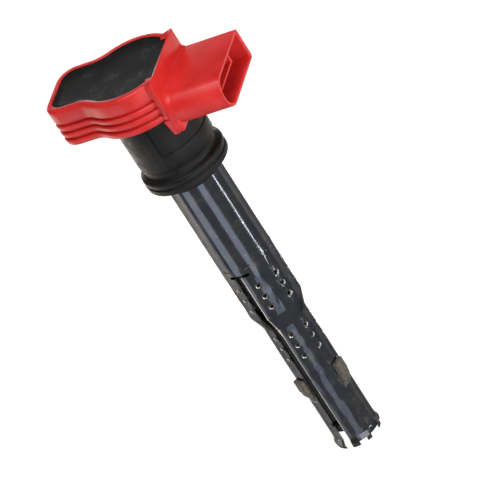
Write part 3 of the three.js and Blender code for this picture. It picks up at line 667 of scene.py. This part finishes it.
socket = bmesh.new()
base = socket.faces.new([socket.verts.new((PLATE_FACE - 0.6, y, z)) for y, z in shroud_outline()])
mouth = extruded(socket, [base], (SHROUD_END - PLATE_FACE + 0.6, 0, 0))
bmesh.ops.inset_region(socket, faces=mouth, thickness=SHROUD_WALL, depth=0, use_even_offset=True)
extruded(socket, mouth, (SOCKET_BASE - SHROUD_END, 0, 0))
bmesh.ops.delete(socket, geom=mouth, context="FACES")


def mouth_edges(inner):
    """The inner or the outer edge round the mouth."""
    found = []
    for edge in corners_of(socket, 1.2):
        middle = (edge.verts[0].co + edge.verts[1].co) / 2
        across = abs(middle.z - (SHROUD_TOP + SHROUD_BOTTOM) / 2) < 5.4 and abs(middle.y) < 15.75
        if min(v.co.x for v in edge.verts) > SHROUD_END - 0.01 and across == inner:
            found.append(edge)
    return found


soften(socket, mouth_edges(True), 0.75, 3)
soften(socket, mouth_edges(False), 0.2, 2)
print("mouth:", len(socket.faces), "faces")

# %% [markdown]
# Where the shroud grows out of the plate it flares, so that there is no sharp inner corner, and
# under it the flare ends in a low foot over the seal. The flare is a stack of outlines, each
# pushed outwards a little less, and held inside the sides of the plate.

# %% Flare and foot
FLARE = [(14.3, 1.9), (14.75, 1.15), (15.2, 0.65), (15.8, 0.25), (16.6, 0.0)]
FOOT_END = 16.7


def flare_level(x, grow):
    """The shroud's outline at one distance from the plate, pushed outwards."""
    middle_z = (SHROUD_TOP + SHROUD_BOTTOM) / 2
    points = []
    for y, z in shroud_outline():
        wide = y * (1 + min(grow, 0.35) / SHROUD_HALF)
        points.append((x, wide, z + grow * (z - middle_z) / 6.5))
    return points


flare = bmesh.new()
ring = [flare.verts.new(p) for p in flare_level(*FLARE[0])]
flare.faces.new(ring)
edges = list(flare.edges)
for x, grow in FLARE[1:]:
    ring, edges = raise_ring(flare, ring, edges, flare_level(x, grow))
flare.faces.new(ring)
foot = bmesh.new()
foot_top = (SHROUD_TOP + SHROUD_BOTTOM) / 2
block(foot, (13.0, -SHROUD_HALF, PLATE_BOTTOM), (FOOT_END, SHROUD_HALF, foot_top))
soften(foot, [e for e in corners_of(foot) if max(v.co.x for v in e.verts) > 16], 0.9, 5)

# %% [markdown]
# One rib hangs from the roof of the socket as a key for the plug, and a thin shelf runs from its
# foot to the round side: the plug's latch slides into the channel above the shelf. All these
# bodies go into one object, as they are one moulding.

# %% Key rib, and the whole moulding
KEY_Y = 2.4
SHELF_LOW, SHELF_TOP = 33.5, 34.2
key_rib = bmesh.new()
root = SOCKET_BASE - 0.5
block(key_rib, (root, KEY_Y - 0.5, SHELF_LOW), (SHROUD_END - 0.4, KEY_Y + 0.5, SHROUD_TOP - 0.7))
block(key_rib, (root, 1 - SHROUD_HALF, SHELF_LOW), (SHROUD_END - 0.45, KEY_Y, SHELF_TOP))
soften(key_rib, key_rib.edges, 0.18, 2)


def take_in(bm, *others):
    """Copies other bmeshes into the first."""
    for other in others:
        bmesh.ops.recalc_face_normals(other, faces=other.faces)
        holder = bpy.data.meshes.new("holder")
        other.to_mesh(holder)
        other.free()
        bm.from_mesh(holder)
        bpy.data.meshes.remove(holder)


take_in(plate, socket, key_rib, flare, foot)
finish_piece(
    plate, "socket_moulding", [red_pbt], stands_for=["connector_body"], sharp_degrees=35
)

# %% [markdown]
# ## The fill
#
# Resin fills the head almost to the rim. Where it wets the wall it climbs a little, as water does
# in a glass, and that thin slope catches the light. The face of the fill starts at the height of
# its edge, and it is inset three times and lowered a little each time.

# %% Fill with its raised edge
FILL_TOP = box_mm("potting")[1].z
fill = bmesh.new()
outline = pan_outline(HEAD_WALL - 0.02)[2:-2]
for x, y in ((PLATE_BACK, -1), (POCKET_X, -1), (POCKET_X, 1), (PLATE_BACK, 1)):
    outline.append((x, y * POCKET_HALF))
skin_face = fill.faces.new([fill.verts.new((x, y, FILL_FLOOR)) for x, y in outline])
top_face = extruded(fill, [skin_face], (0, 0, FILL_TOP + 0.3 - FILL_FLOOR))
for width, drop in ((0.3, 0.16), (0.3, 0.1), (0.5, 0.04)):
    bmesh.ops.inset_region(fill, faces=top_face, thickness=width, depth=0, use_even_offset=False)
    bmesh.ops.translate(fill, vec=(0, 0, -drop), verts=list({v for f in top_face for v in f.verts}))
finish_piece(fill, "resin_fill", [epoxy], stands_for=["potting"], sharp_degrees=60)

# %% [markdown]
# ## The seal
#
# The seal is a rubber sleeve over the neck. It ends in two round lips that press on the wall of
# the plug well. It is a turned shape. Two upright strips on its sides, and a thicker band on the
# socket's side, are short turned shapes of their own.

# %% Seal
SEAL_LOW = box_mm("well_seal")[0].z
seal = bmesh.new()
seal_line = [
    (11.3, SEAL_LOW, 0),
    (12.0, SEAL_LOW, 0.4),
    (12.4, -0.4, 0.3),
    (12.6, 0.0, 0),
    (14.7, 0.0, 0.3),
    (16.4, 0.25, 1.3),
    (16.4, 2.6, 1.1),
    (15.75, 3.05, 0.35),
    (16.4, 3.5, 1.1),
    (16.4, 5.6, 1.2),
    (14.3, 6.4, 1.2),
    (14.3, 8.6, 1.6),
    (15.0, 10.2, 1.2),
    (15.0, HEAD_BOTTOM, 0),
    (12.5, HEAD_BOTTOM, 0),
    (12.5, 7.8, 0),
    (11.3, 7.8, 0),
    (11.3, SEAL_LOW, 0),
]
turned(seal, rounded(seal_line, 5))
upright_line = [
    (14.0, 9.4),
    (15.35, 9.9),
    (15.6, 10.3),
    (15.6, HEAD_BOTTOM),
    (14.0, HEAD_BOTTOM),
    (14.0, 9.4),
]
band_line = [(14.0, 8.8), (15.4, 10.4), (15.4, 15.9), (14.0, 16.2), (14.0, 8.8)]
for middle, width, section in (
    (-90, 15, upright_line),
    (90, 15, upright_line),
    (0, 168, band_line),
):
    sweep = math.radians(width)
    strip = bmesh.new()
    turned(strip, section, max(8, width // 3), sweep, math.radians(middle) - sweep / 2)
    bmesh.ops.remove_doubles(strip, verts=strip.verts, dist=1e-5)
    bmesh.ops.holes_fill(strip, edges=[e for e in strip.edges if e.is_boundary], sides=0)
    corners = [
        e
        for e in strip.edges
        if len(e.link_faces) == 2
        and e.calc_face_angle(0) > 1.0
        and min(Vector(v.co.xy).length for v in e.verts) > 15
    ]
    soften(strip, corners, 0.25, 2)
    take_in(seal, strip)
finish_piece(seal, "well_seal_rubber", [rubber], stands_for=["well_seal"], sharp_degrees=45)

# %% [markdown]
# ## The steel tube
#
# The real tube starts as a flat blank: it is punched and slit while flat, its holes are pressed to
# small dishes, and then it is rolled round. The model is made in the same order. The flat sheet is
# a grid as long as the unrolled tube, one unit per millimetre of arc at the tube's full radius.

# %% Sizes of the tube
tube_low, tube_high = box_mm("outer_shield")
TUBE_RADIUS = 11.0
TUBE_NARROW = 8.9
SHEET = 0.5
TUBE_TOP = tube_high.z
TUBE_TIP = tube_low.z
ARC_MM = TUBE_RADIUS * math.pi / 180
COLUMN_DEGREES = 3.75
HOLE_HALF_X = 2 * COLUMN_DEGREES * ARC_MM
SEAM = -100.5
SLIT_MIDDLE = -98.0
SLIT_HALF = 1.45
CROSS_SLOT_Z = (-44.55, -43.4)
CROSS_SLOT_DEGREES = (-115.0, -73.0)
HOLE_COLUMNS = [-70.5 + 45 * k for k in range(8)]
HOLE_ROWS = [top - 5.12 * k for top in (-50.2, -76.1) for k in range(3)]
CRIMP_ROW = -41.0
CRIMP_HALF = 0.55
WINDOW_WIDTH = 5.3
WINDOWS = [-8.0, 112.0, 232.0]
WINDOW_Z = (-107.4, -96.6)
NOTCH_TOP = TUBE_TIP + 1.8

tube_line = rounded(
    [
        (TUBE_RADIUS, TUBE_TOP, 0),
        (TUBE_RADIUS, -64.8, 6.0),
        (TUBE_NARROW, -71.6, 6.0),
        (TUBE_NARROW, -127.4, 2.0),
        (9.68, -129.6, 1.2),
        (9.45, TUBE_TIP, 0),
    ],
    5,
)


def tube_radius(z):
    """Outer radius of the tube at a height, between the two profile points round it."""
    for (r0, z0), (r1, z1) in zip(tube_line, tube_line[1:]):
        if z1 <= z <= z0:
            return r0 + (r1 - r0) * (z0 - z) / max(z0 - z1, 1e-9)
    return tube_line[0][0] if z > tube_line[0][1] else tube_line[-1][0]


# %% [markdown]
# Rows of edges are cut where the profile bends and wherever a punch or a press will need them.

# %% Flat blank
HOLE_BLOCK = 1.28
sheet = bmesh.new()
columns = round(360 / COLUMN_DEGREES)
bmesh.ops.create_grid(sheet, x_segments=columns, y_segments=1, size=0.5)
bmesh.ops.scale(sheet, vec=(360 * ARC_MM, TUBE_TOP - TUBE_TIP, 1), verts=sheet.verts)
bmesh.ops.translate(
    sheet, vec=((SEAM + 180) * ARC_MM, (TUBE_TOP + TUBE_TIP) / 2, 0), verts=sheet.verts
)
rows = {round(z, 4) for _, z in tube_line[1:-1]}
rows |= {NOTCH_TOP, -110.0, -95.0, -62.5, -72.6, *CROSS_SLOT_Z, CRIMP_ROW - CRIMP_HALF}
rows.add(CRIMP_ROW + CRIMP_HALF)
rows |= {20.0, 10.0, 0.0, -10.0, -20.0, -30.0, -38.0, -90.0, -115.0, -120.0}
rows |= {z + HOLE_BLOCK * k / 2 for z in HOLE_ROWS for k in (-2, -1, 0, 1, 2)}
for z in sorted(rows):
    cleave(sheet, (0, z, 0), (0, 1, 0))
print("flat blank:", len(sheet.faces), "faces")


# %% [markdown]
# Slits, slots, windows and notches are straight cuts. Each one only divides the faces near it, and
# then the faces inside it are removed. The slit keeps its width in millimetres, so on the narrow
# part of the tube it takes a wider angle, and its edges lean outwards across the neck.

# %% Straight cuts


def punch(bm, low_deg, high_deg, low_z, high_z):
    """Cuts a rectangle out of the flat sheet."""
    x0, x1 = low_deg * ARC_MM, high_deg * ARC_MM

    def near(face):
        xs = [v.co.x for v in face.verts]
        ys = [v.co.y for v in face.verts]
        return max(xs) > x0 and min(xs) < x1 and max(ys) > low_z and min(ys) < high_z

    for point, normal in (((x0, 0, 0), (1, 0, 0)), ((x1, 0, 0), (1, 0, 0))):
        cleave(bm, point, normal, [f for f in bm.faces if near(f)])
    for point, normal in (((0, low_z, 0), (0, 1, 0)), ((0, high_z, 0), (0, 1, 0))):
        cleave(bm, point, normal, [f for f in bm.faces if near(f)])
    inside = []
    for face in bm.faces:
        centre = face.calc_center_median()
        if x0 < centre.x < x1 and low_z < centre.y < high_z:
            inside.append(face)
    bmesh.ops.delete(bm, geom=inside, context="FACES")


def half_angle(width, radius):
    """Half the angle that a slot of some width takes on a radius."""
    return math.degrees(math.asin(width / 2 / radius))


NECK_TOP_Z = -64.2
NECK_LOW_Z = -72.2
wide = half_angle(2 * SLIT_HALF, TUBE_RADIUS)
narrow = half_angle(2 * SLIT_HALF, TUBE_NARROW)
for z in (NECK_TOP_Z, NECK_LOW_Z):
    cleave(sheet, (0, z, 0), (0, 1, 0))
for turn in (0, 360):
    punch(sheet, SLIT_MIDDLE + turn - wide, SLIT_MIDDLE + turn + wide, NECK_TOP_Z, CROSS_SLOT_Z[0])
    punch(sheet, SLIT_MIDDLE + turn - narrow, SLIT_MIDDLE + turn + narrow, TUBE_TIP - 1, NECK_LOW_Z)
    punch(sheet, CROSS_SLOT_DEGREES[0] + turn, CROSS_SLOT_DEGREES[1] + turn, *CROSS_SLOT_Z)

VENT_Z = -119.5
for turn in (0, 360):
    left = SLIT_MIDDLE + turn - narrow
    punch(sheet, left - 6.0, left + 0.5, VENT_Z - 0.85, VENT_Z + 0.85)

# %% [markdown]
# Across the neck the slit's edges lean, so each one is a slanting cut between the two widths.

# %% Leaning edges of the slit across the neck
for turn in (0, 360):
    for side in (1, -1):
        top = Vector(((SLIT_MIDDLE + turn + side * wide) * ARC_MM, NECK_TOP_Z, 0))
        low = Vector(((SLIT_MIDDLE + turn + side * narrow) * ARC_MM, NECK_LOW_Z, 0))
        neck = [f for f in sheet.faces if NECK_LOW_Z < f.calc_center_median().y < NECK_TOP_Z]
        cleave(sheet, top, (low - top).cross(Vector((0, 0, 1))), neck)


def in_neck_slit(centre):
    """Whether a point of the flat sheet lies in the slit where it crosses the neck."""
    if not NECK_LOW_Z < centre.y < NECK_TOP_Z:
        return False
    share = (NECK_TOP_Z - centre.y) / (NECK_TOP_Z - NECK_LOW_Z)
    reach = (wide + (narrow - wide) * share) * ARC_MM
    return any(abs(centre.x - (SLIT_MIDDLE + turn) * ARC_MM) < reach for turn in (0, 360))


bmesh.ops.delete(
    sheet, geom=[f for f in sheet.faces if in_neck_slit(f.calc_center_median())], context="FACES"
)

# %% [markdown]
# Three windows let the boot's pads out. Eight notches divide the crown at the tip into fingers.

# %% Windows and notches
for middle in WINDOWS:
    reach = half_angle(WINDOW_WIDTH, TUBE_NARROW)
    punch(sheet, middle - reach, middle + reach, *WINDOW_Z)
for pair in (-61, 14, 89, 164):
    for middle, width in ((pair, 3.1), (pair + 36, 4.6)):
        reach = half_angle(width, 9.6)
        punch(sheet, middle - reach, middle + reach, TUBE_TIP - 1, NOTCH_TOP)

# %% [markdown]
# A punch leaves a burnished round along a cut. The right edge of the slit is the brightest line on
# the whole tube, and across the neck the sheet is crumpled there, so the round is wider. The edge
# of the cut is extruded three times, each time a little further in and down.

# %% Burnished edges


def burnish(bm, edges, shift):
    """Rounds a cut edge of the flat sheet: shift(point) gives the way towards the opening."""
    for share, sink in ((0.3, -0.03), (1.0, -0.9), (0.2, -0.1)):
        made = bmesh.ops.extrude_edge_only(bm, edges=edges)["geom"]
        fresh = verts_of(made)
        edges = edges_between(made, fresh)
        for vert in fresh:
            way = shift(vert.co) * share
            fall = sink * min(way.length, 0.42) if share == 1.0 else sink
            vert.co += Vector((way.x, way.y, fall))
        for face in faces_of(made):
            face.material_index = 1


def towards_slit(point):
    """The burnish of the slit's right edge, wider and uneven across the neck."""
    crumple = max(0.0, 1 - abs(point.y + 70) / 6.5)
    return Vector((-0.5 - 0.7 * crumple * (0.75 + 0.25 * math.sin(point.y * 5)), 0))


slit_edges = []
for edge in sheet.edges:
    middle = (edge.verts[0].co + edge.verts[1].co) / 2
    upright = abs(edge.verts[0].co.y - edge.verts[1].co.y) > 0.01
    beside = any(0 < middle.x / ARC_MM - SLIT_MIDDLE - turn < 12 for turn in (0, 360))
    if edge.is_boundary and upright and beside and middle.y < CROSS_SLOT_Z[0]:
        slit_edges.append(edge)
burnish(sheet, slit_edges, towards_slit)
for middle in WINDOWS:
    centre = Vector((middle * ARC_MM, sum(WINDOW_Z) / 2, 0))
    reach = Vector((half_angle(WINDOW_WIDTH, TUBE_NARROW) * ARC_MM, (WINDOW_Z[1] - WINDOW_Z[0]) / 2))
    edges = []
    for edge in sheet.edges:
        away = (edge.verts[0].co + edge.verts[1].co) / 2 - centre
        if edge.is_boundary and abs(away.x) < reach.x + 0.1 and abs(away.y) < reach.y + 0.1:
            edges.append(edge)

    def into_window(point):
        """The burnish of a window's edge."""
        away = point.xy - centre.xy
        x = -math.copysign(0.24, away.x) if abs(away.x) > reach.x - 0.5 else 0.0
        y = -math.copysign(0.24, away.y) if abs(away.y) > reach.y - 0.5 else 0.0
        return Vector((x, y))

    burnish(sheet, edges, into_window)
print("burnished:", len(slit_edges), "edges of the slit")

# %% [markdown]
# Each round hole is pressed from outside, so its rim sinks to a small dish. A square of the grid
# is removed, its border is extruded and moved in to a circle, and the circle is extruded inwards
# and narrowed. On the narrow part of the tube the circle is drawn wider along the sheet, because
# rolling narrows it again.

# %% Dished holes


HOLE_RADIUS = 1.2
POINT_DEGREES = 22.5
DISH = ((0.9, -0.05, 0), (0.8, -0.22, 1), (0.94, -0.3, 1))


def dished_hole(bm, degrees, z):
    """Replaces a square of the sheet by a round dished hole."""
    squeeze = TUBE_RADIUS / tube_radius(z)
    middle = Vector((degrees * ARC_MM, z, 0))
    inside = []
    for face in bm.faces:
        away = face.calc_center_median() - middle
        if abs(away.x) < HOLE_HALF_X and abs(away.y) < HOLE_BLOCK:
            inside.append(face)
    around = dict.fromkeys(e for f in inside for e in f.edges)
    border = [e for e in around if any(f not in inside for f in e.link_faces)]
    bmesh.ops.delete(bm, geom=inside, context="FACES")
    made = bmesh.ops.extrude_edge_only(bm, edges=border)["geom"]
    ring = verts_of(made)
    reach = min(HOLE_RADIUS, 0.97 * HOLE_HALF_X / squeeze)
    for vert in ring:
        away = vert.co - middle
        steps = round(math.degrees(math.atan2(away.y, away.x)) / POINT_DEGREES)
        turn = math.radians(POINT_DEGREES * steps)
        vert.co.x = middle.x + reach * squeeze * math.cos(turn)
        vert.co.y = middle.y + reach * math.sin(turn)
    for shrink, sink, finish in DISH:
        made = bmesh.ops.extrude_edge_only(bm, edges=edges_between(made, ring))["geom"]
        for face in faces_of(made):
            face.material_index = finish
        ring = verts_of(made)
        for vert in ring:
            vert.co.x = middle.x + (vert.co.x - middle.x) * shrink
            vert.co.y = middle.y + (vert.co.y - middle.y) * shrink
            vert.co.z += sink


for degrees in HOLE_COLUMNS:
    for z in HOLE_ROWS:
        dished_hole(sheet, degrees, z)
print("with holes:", len(sheet.faces), "faces")

# %% [markdown]
# A row of small presses above the cross slot locks the sheet on the layer inside it.

# %% Presses
for degrees in HOLE_COLUMNS:
    pressed = []
    for face in sheet.faces:
        away = face.calc_center_median() - Vector((degrees * ARC_MM, CRIMP_ROW, 0))
        if abs(away.x) < HOLE_HALF_X and abs(away.y) < CRIMP_HALF:
            pressed.append(face)
    bmesh.ops.inset_region(sheet, faces=pressed, thickness=0.22, depth=0, use_even_offset=True)
    bmesh.ops.translate(sheet, vec=(0, 0, -0.2), verts=list({v for f in pressed for v in f.verts}))

# %% [markdown]
# Rolling moves every point from the flat sheet to the cylinder: its place along the sheet becomes
# an angle, and its height above the sheet is added to the radius. Then the seam is merged, and
# the whole skin is extruded half a millimetre towards the axis to give the sheet its thickness.

# %% Roll the blank
for vert in sheet.verts:
    flat = vert.co.copy()
    angle = math.radians(flat.x / ARC_MM)
    radius = tube_radius(flat.y) + flat.z
    vert.co = (radius * math.cos(angle), radius * math.sin(angle), flat.y)
bmesh.ops.remove_doubles(sheet, verts=sheet.verts, dist=1e-4)
bmesh.ops.recalc_face_normals(sheet, faces=sheet.faces)
geometry = list(sheet.faces) + list(sheet.edges)
grown = bmesh.ops.extrude_face_region(sheet, geom=geometry, use_keep_orig=True)["geom"]
for vert in verts_of(grown):
    radius = vert.co.xy.length
    vert.co.xy *= (radius - SHEET) / radius
bmesh.ops.recalc_face_normals(sheet, faces=sheet.faces)
open_edges = [e for e in sheet.edges if len(e.link_faces) != 2]
print("thick sheet:", len(sheet.faces), "faces,", len(open_edges), "open edges")

# %% [markdown]
# The cut faces below the cross slot stay bright: their normals point along the sheet, not out.

# %% Bright cut faces
for face in sheet.faces:
    centre = face.calc_center_median()
    out = Vector((*centre.xy, 0)).normalized()
    by_hole = any(abs(centre.z - z) < 1.35 for z in HOLE_ROWS)
    if abs(face.normal.dot(out)) < 0.3 and centre.z < CROSS_SLOT_Z[0] and not by_hole:
        face.material_index = 1
finish_piece(
    sheet,
    "rolled_tube",
    [black_steel, cut_steel],
    stands_for=["outer_shield"],
    sharp_degrees=38,
)

# %% [markdown]
# ## The boot
#
# Inside the lower tube sits the rubber boot that grips the spark plug. It shows through the slit,
# at the tip, and where three pads of it stand out through windows in the steel.

# %% Boot
boot_low, boot_high = box_mm("plug_boot")
boot = bmesh.new()
boot_line = [
    (6.1, boot_low.z, 0),
    (8.1, boot_low.z, 0.4),
    (8.1, boot_high.z, 0.4),
    (5.9, boot_high.z, 0.3),
    (5.9, -78.4, 0),
    (3.45, -78.4, 0.2),
    (3.45, -98.0, 0.3),
    (5.1, -99.8, 0.5),
    (5.1, boot_low.z + 2, 0.3),
    (6.1, boot_low.z, 0),
]
turned(boot, rounded(boot_line, 3), 80)

# %% [markdown]
# A small oval vent lies behind the left edge of the slit. The faces inside the oval are extruded
# into the wall.

# %% Vent of the boot
for z in (-120.8, -120.3, -118.7, -118.2):
    cleave(boot, (0, 0, z), (0, 0, 1))
vent = []
for face in boot.faces:
    centre = face.calc_center_median()
    across = math.radians(math.degrees(math.atan2(centre.y, centre.x)) + 102) * 8.1
    if centre.xy.length > 7.9 and (across / 1.9) ** 2 + ((centre.z - VENT_Z) / 1.4) ** 2 < 1:
        vent.append(face)
grown = bmesh.ops.extrude_face_region(boot, geom=vent)["geom"]
for vert in verts_of(grown):
    vert.co.xy *= 6.6 / 8.1
bmesh.ops.delete(boot, geom=[f for f in vent if f.is_valid], context="FACES")
print("vent:", len(vent), "faces")

# %% [markdown]
# Each pad is a block, blunt above and tapered below, turned to its window.

# %% Pads of the boot
PAD_HALF = 2.5
for middle in WINDOWS:
    pad = bmesh.new()
    block(pad, (7.4, -PAD_HALF, -107.0), (10.4, PAD_HALF, -97.0))
    for vert in pad.verts:
        if vert.co.x > 9 and vert.co.z < -100:
            vert.co.x = 8.8
    for z in (-104.8, -103.4, -102.0, -100.6, -99.2):
        cleave(pad, (0, 0, z), (0, 0, 1))
    for vert in pad.verts:
        if vert.co.x > 8.5 and vert.co.z > -103.5:
            vert.co.x = 10.35
    soften(pad, corners_of(pad, 0.9), 0.5, 4)
    for face in pad.faces:
        face.material_index = 1
    bmesh.ops.rotate(
        pad, verts=pad.verts, cent=(0, 0, 0), matrix=Matrix.Rotation(math.radians(middle), 3, "Z")
    )
    take_in(boot, pad)
finish_piece(
    boot, "boot_rubber", [rubber, worn_rubber], stands_for=["plug_boot"], sharp_degrees=45
)

# %% [markdown]
# ## Camera and light
#
# The object hangs over a pale floor in soft light. Tall soft boxes stand low around it, because
# an upright tube seen from above reflects what is below it: each box is one long band on the steel.

# %% Camera
DISTANCE_MM = 1387.449
LOOK_AT = Vector((0, 0, -50.5))
SHIFT_RIGHT, SHIFT_UP = 1.341, 12.499
AZIMUTH, ELEVATION, ROLL = (math.radians(a) for a in (30.253, 28.923, 32.736))
back = Vector(
    (
        math.sin(AZIMUTH) * math.cos(ELEVATION),
        -math.cos(AZIMUTH) * math.cos(ELEVATION),
        math.sin(ELEVATION),
    )
)
right = Vector((math.cos(AZIMUTH), math.sin(AZIMUTH), 0))
up = back.cross(right)
place = LOOK_AT + back * DISTANCE_MM + right * SHIFT_RIGHT + up * SHIFT_UP
axis_x = math.cos(ROLL) * right - math.sin(ROLL) * up
axis_y = math.sin(ROLL) * right + math.cos(ROLL) * up
turn = Matrix((axis_x, axis_y, back)).transposed().to_4x4()
lens = bpy.data.cameras.new("camera")
lens.lens = 288.815
lens.sensor_width = 36.0
camera = bpy.data.objects.new("camera", lens)
camera.matrix_world = Matrix.Translation(place * MM) @ turn
bpy.context.scene.collection.objects.link(camera)
bpy.context.scene.camera = camera

# %% [markdown]
# The floor lies 0.75 m below the origin and glows, so that it looks almost white.

# %% Floor
FLOOR_Z = -0.75
floor_mesh = bmesh.new()
bmesh.ops.create_grid(floor_mesh, x_segments=1, y_segments=1, size=12)
bmesh.ops.translate(floor_mesh, vec=(0, 0, FLOOR_Z), verts=floor_mesh.verts)
floor_data = bpy.data.meshes.new("floor")
floor_mesh.to_mesh(floor_data)
floor_mesh.free()
floor_paint, shader, at = new_finish(
    "floor_paint",
    {
        "Base Color": hex_colour("#F6F6F6"),
        "Roughness": 0.9,
        "Emission Color": hex_colour("#FFFFFF"),
        "Emission Strength": 0.95,
    },
)
floor_data.materials.append(floor_paint)
floor = bpy.data.objects.new("floor", floor_data)
bpy.context.scene.collection.objects.link(floor)
floor.visible_diffuse = False
floor.visible_glossy = False

# %% [markdown]
# Each soft box is set by where it stands, seen from the object, and by how bright it looks, so
# its reflection in the steel stays as bright when its size changes.

# %% Soft boxes
AIM = Vector((0, 0, -0.03))


def soft_box(name, azimuth, elevation, distance, width, height, brightness, colour):
    """An area light that faces the object, as bright as asked whatever its size."""
    light = bpy.data.lights.new(name, "AREA")
    light.shape = "RECTANGLE"
    light.size = width
    light.size_y = height
    light.energy = brightness * math.pi * width * height
    light.color = hex_colour(colour)[:3]
    a, e = math.radians(azimuth), math.radians(elevation)
    out = Vector((math.cos(a) * math.cos(e), math.sin(a) * math.cos(e), math.sin(e)))
    lamp = bpy.data.objects.new(name, light)
    lamp.location = AIM + out * distance
    lamp.rotation_euler = out.to_track_quat("Z", "Y").to_euler()
    lamp.visible_camera = False
    bpy.context.scene.collection.objects.link(lamp)


DISTANCE = 0.75


def band(name, start, end, brightness, colour, low, high):
    """A soft box that covers a range of azimuth and elevation, in degrees."""
    width = 2 * DISTANCE * math.tan(math.radians(end - start) / 2)
    height = 2 * DISTANCE * math.tan(math.radians(high - low) / 2)
    middle = ((start + end) / 2, (low + high) / 2)
    soft_box(name, *middle, DISTANCE, width, height, brightness, colour)


for name, start, end, brightness, colour in (
    ("left", 140, 202, 2.5, "#FFF1DE"),
    ("left_front", -137, -111, 1.7, "#EEF4FF"),
    ("front", -71, -50, 1.8, "#E9F1FF"),
    ("right", 43, 88, 0.9, "#FFF1DE"),
):
    band(name + "_upper", start, end, brightness, colour, -31, -14)
    band(name + "_lower", start, end, brightness * 0.5, colour, -46, -31)
band("strip_light", 0.4, 2.8, 22.0, "#FFFFFF", -29.4, -14)
band("back_box", 100, 140, 5.0, "#FFFFFF", -34, 14)
soft_box("key_box", -50, -2, 1.3, 0.9, 0.7, 2.7, "#FFFFFF")
soft_box("socket_box", -12, 14, 1.2, 0.6, 0.6, 5.5, "#FFFFFF")
soft_box("top_box", -75, 74, 1.0, 0.6, 0.6, 5.6, "#FFFFFF")

# %% [markdown]
# The room is dark above the object and pale below it. A flat black surface seen from above
# mirrors the far upper part of the room, so this keeps the resin black, and the pale lower part
# lifts the steel. The floor is white only to the eye: it doesn't light the object.

# %% World
world = bpy.data.worlds.new("studio")
bpy.context.scene.world = world
world.use_nodes = True
sky = add_node(world, "TexCoord")
direction = add_node(world, "SeparateXYZ", {"Vector": (sky, "Generated")})
spread = {"From Min": -0.3, "From Max": 0.3, "To Min": 0.42, "To Max": 0.08}
background = world.node_tree.nodes["Background"]
background.inputs["Color"].default_value = (1, 1, 1, 1)
add_node(world, "MapRange", {"Value": (direction, "Z"), **spread}, (background, "Strength"))
bpy.context.scene.view_settings.view_transform = "Standard"
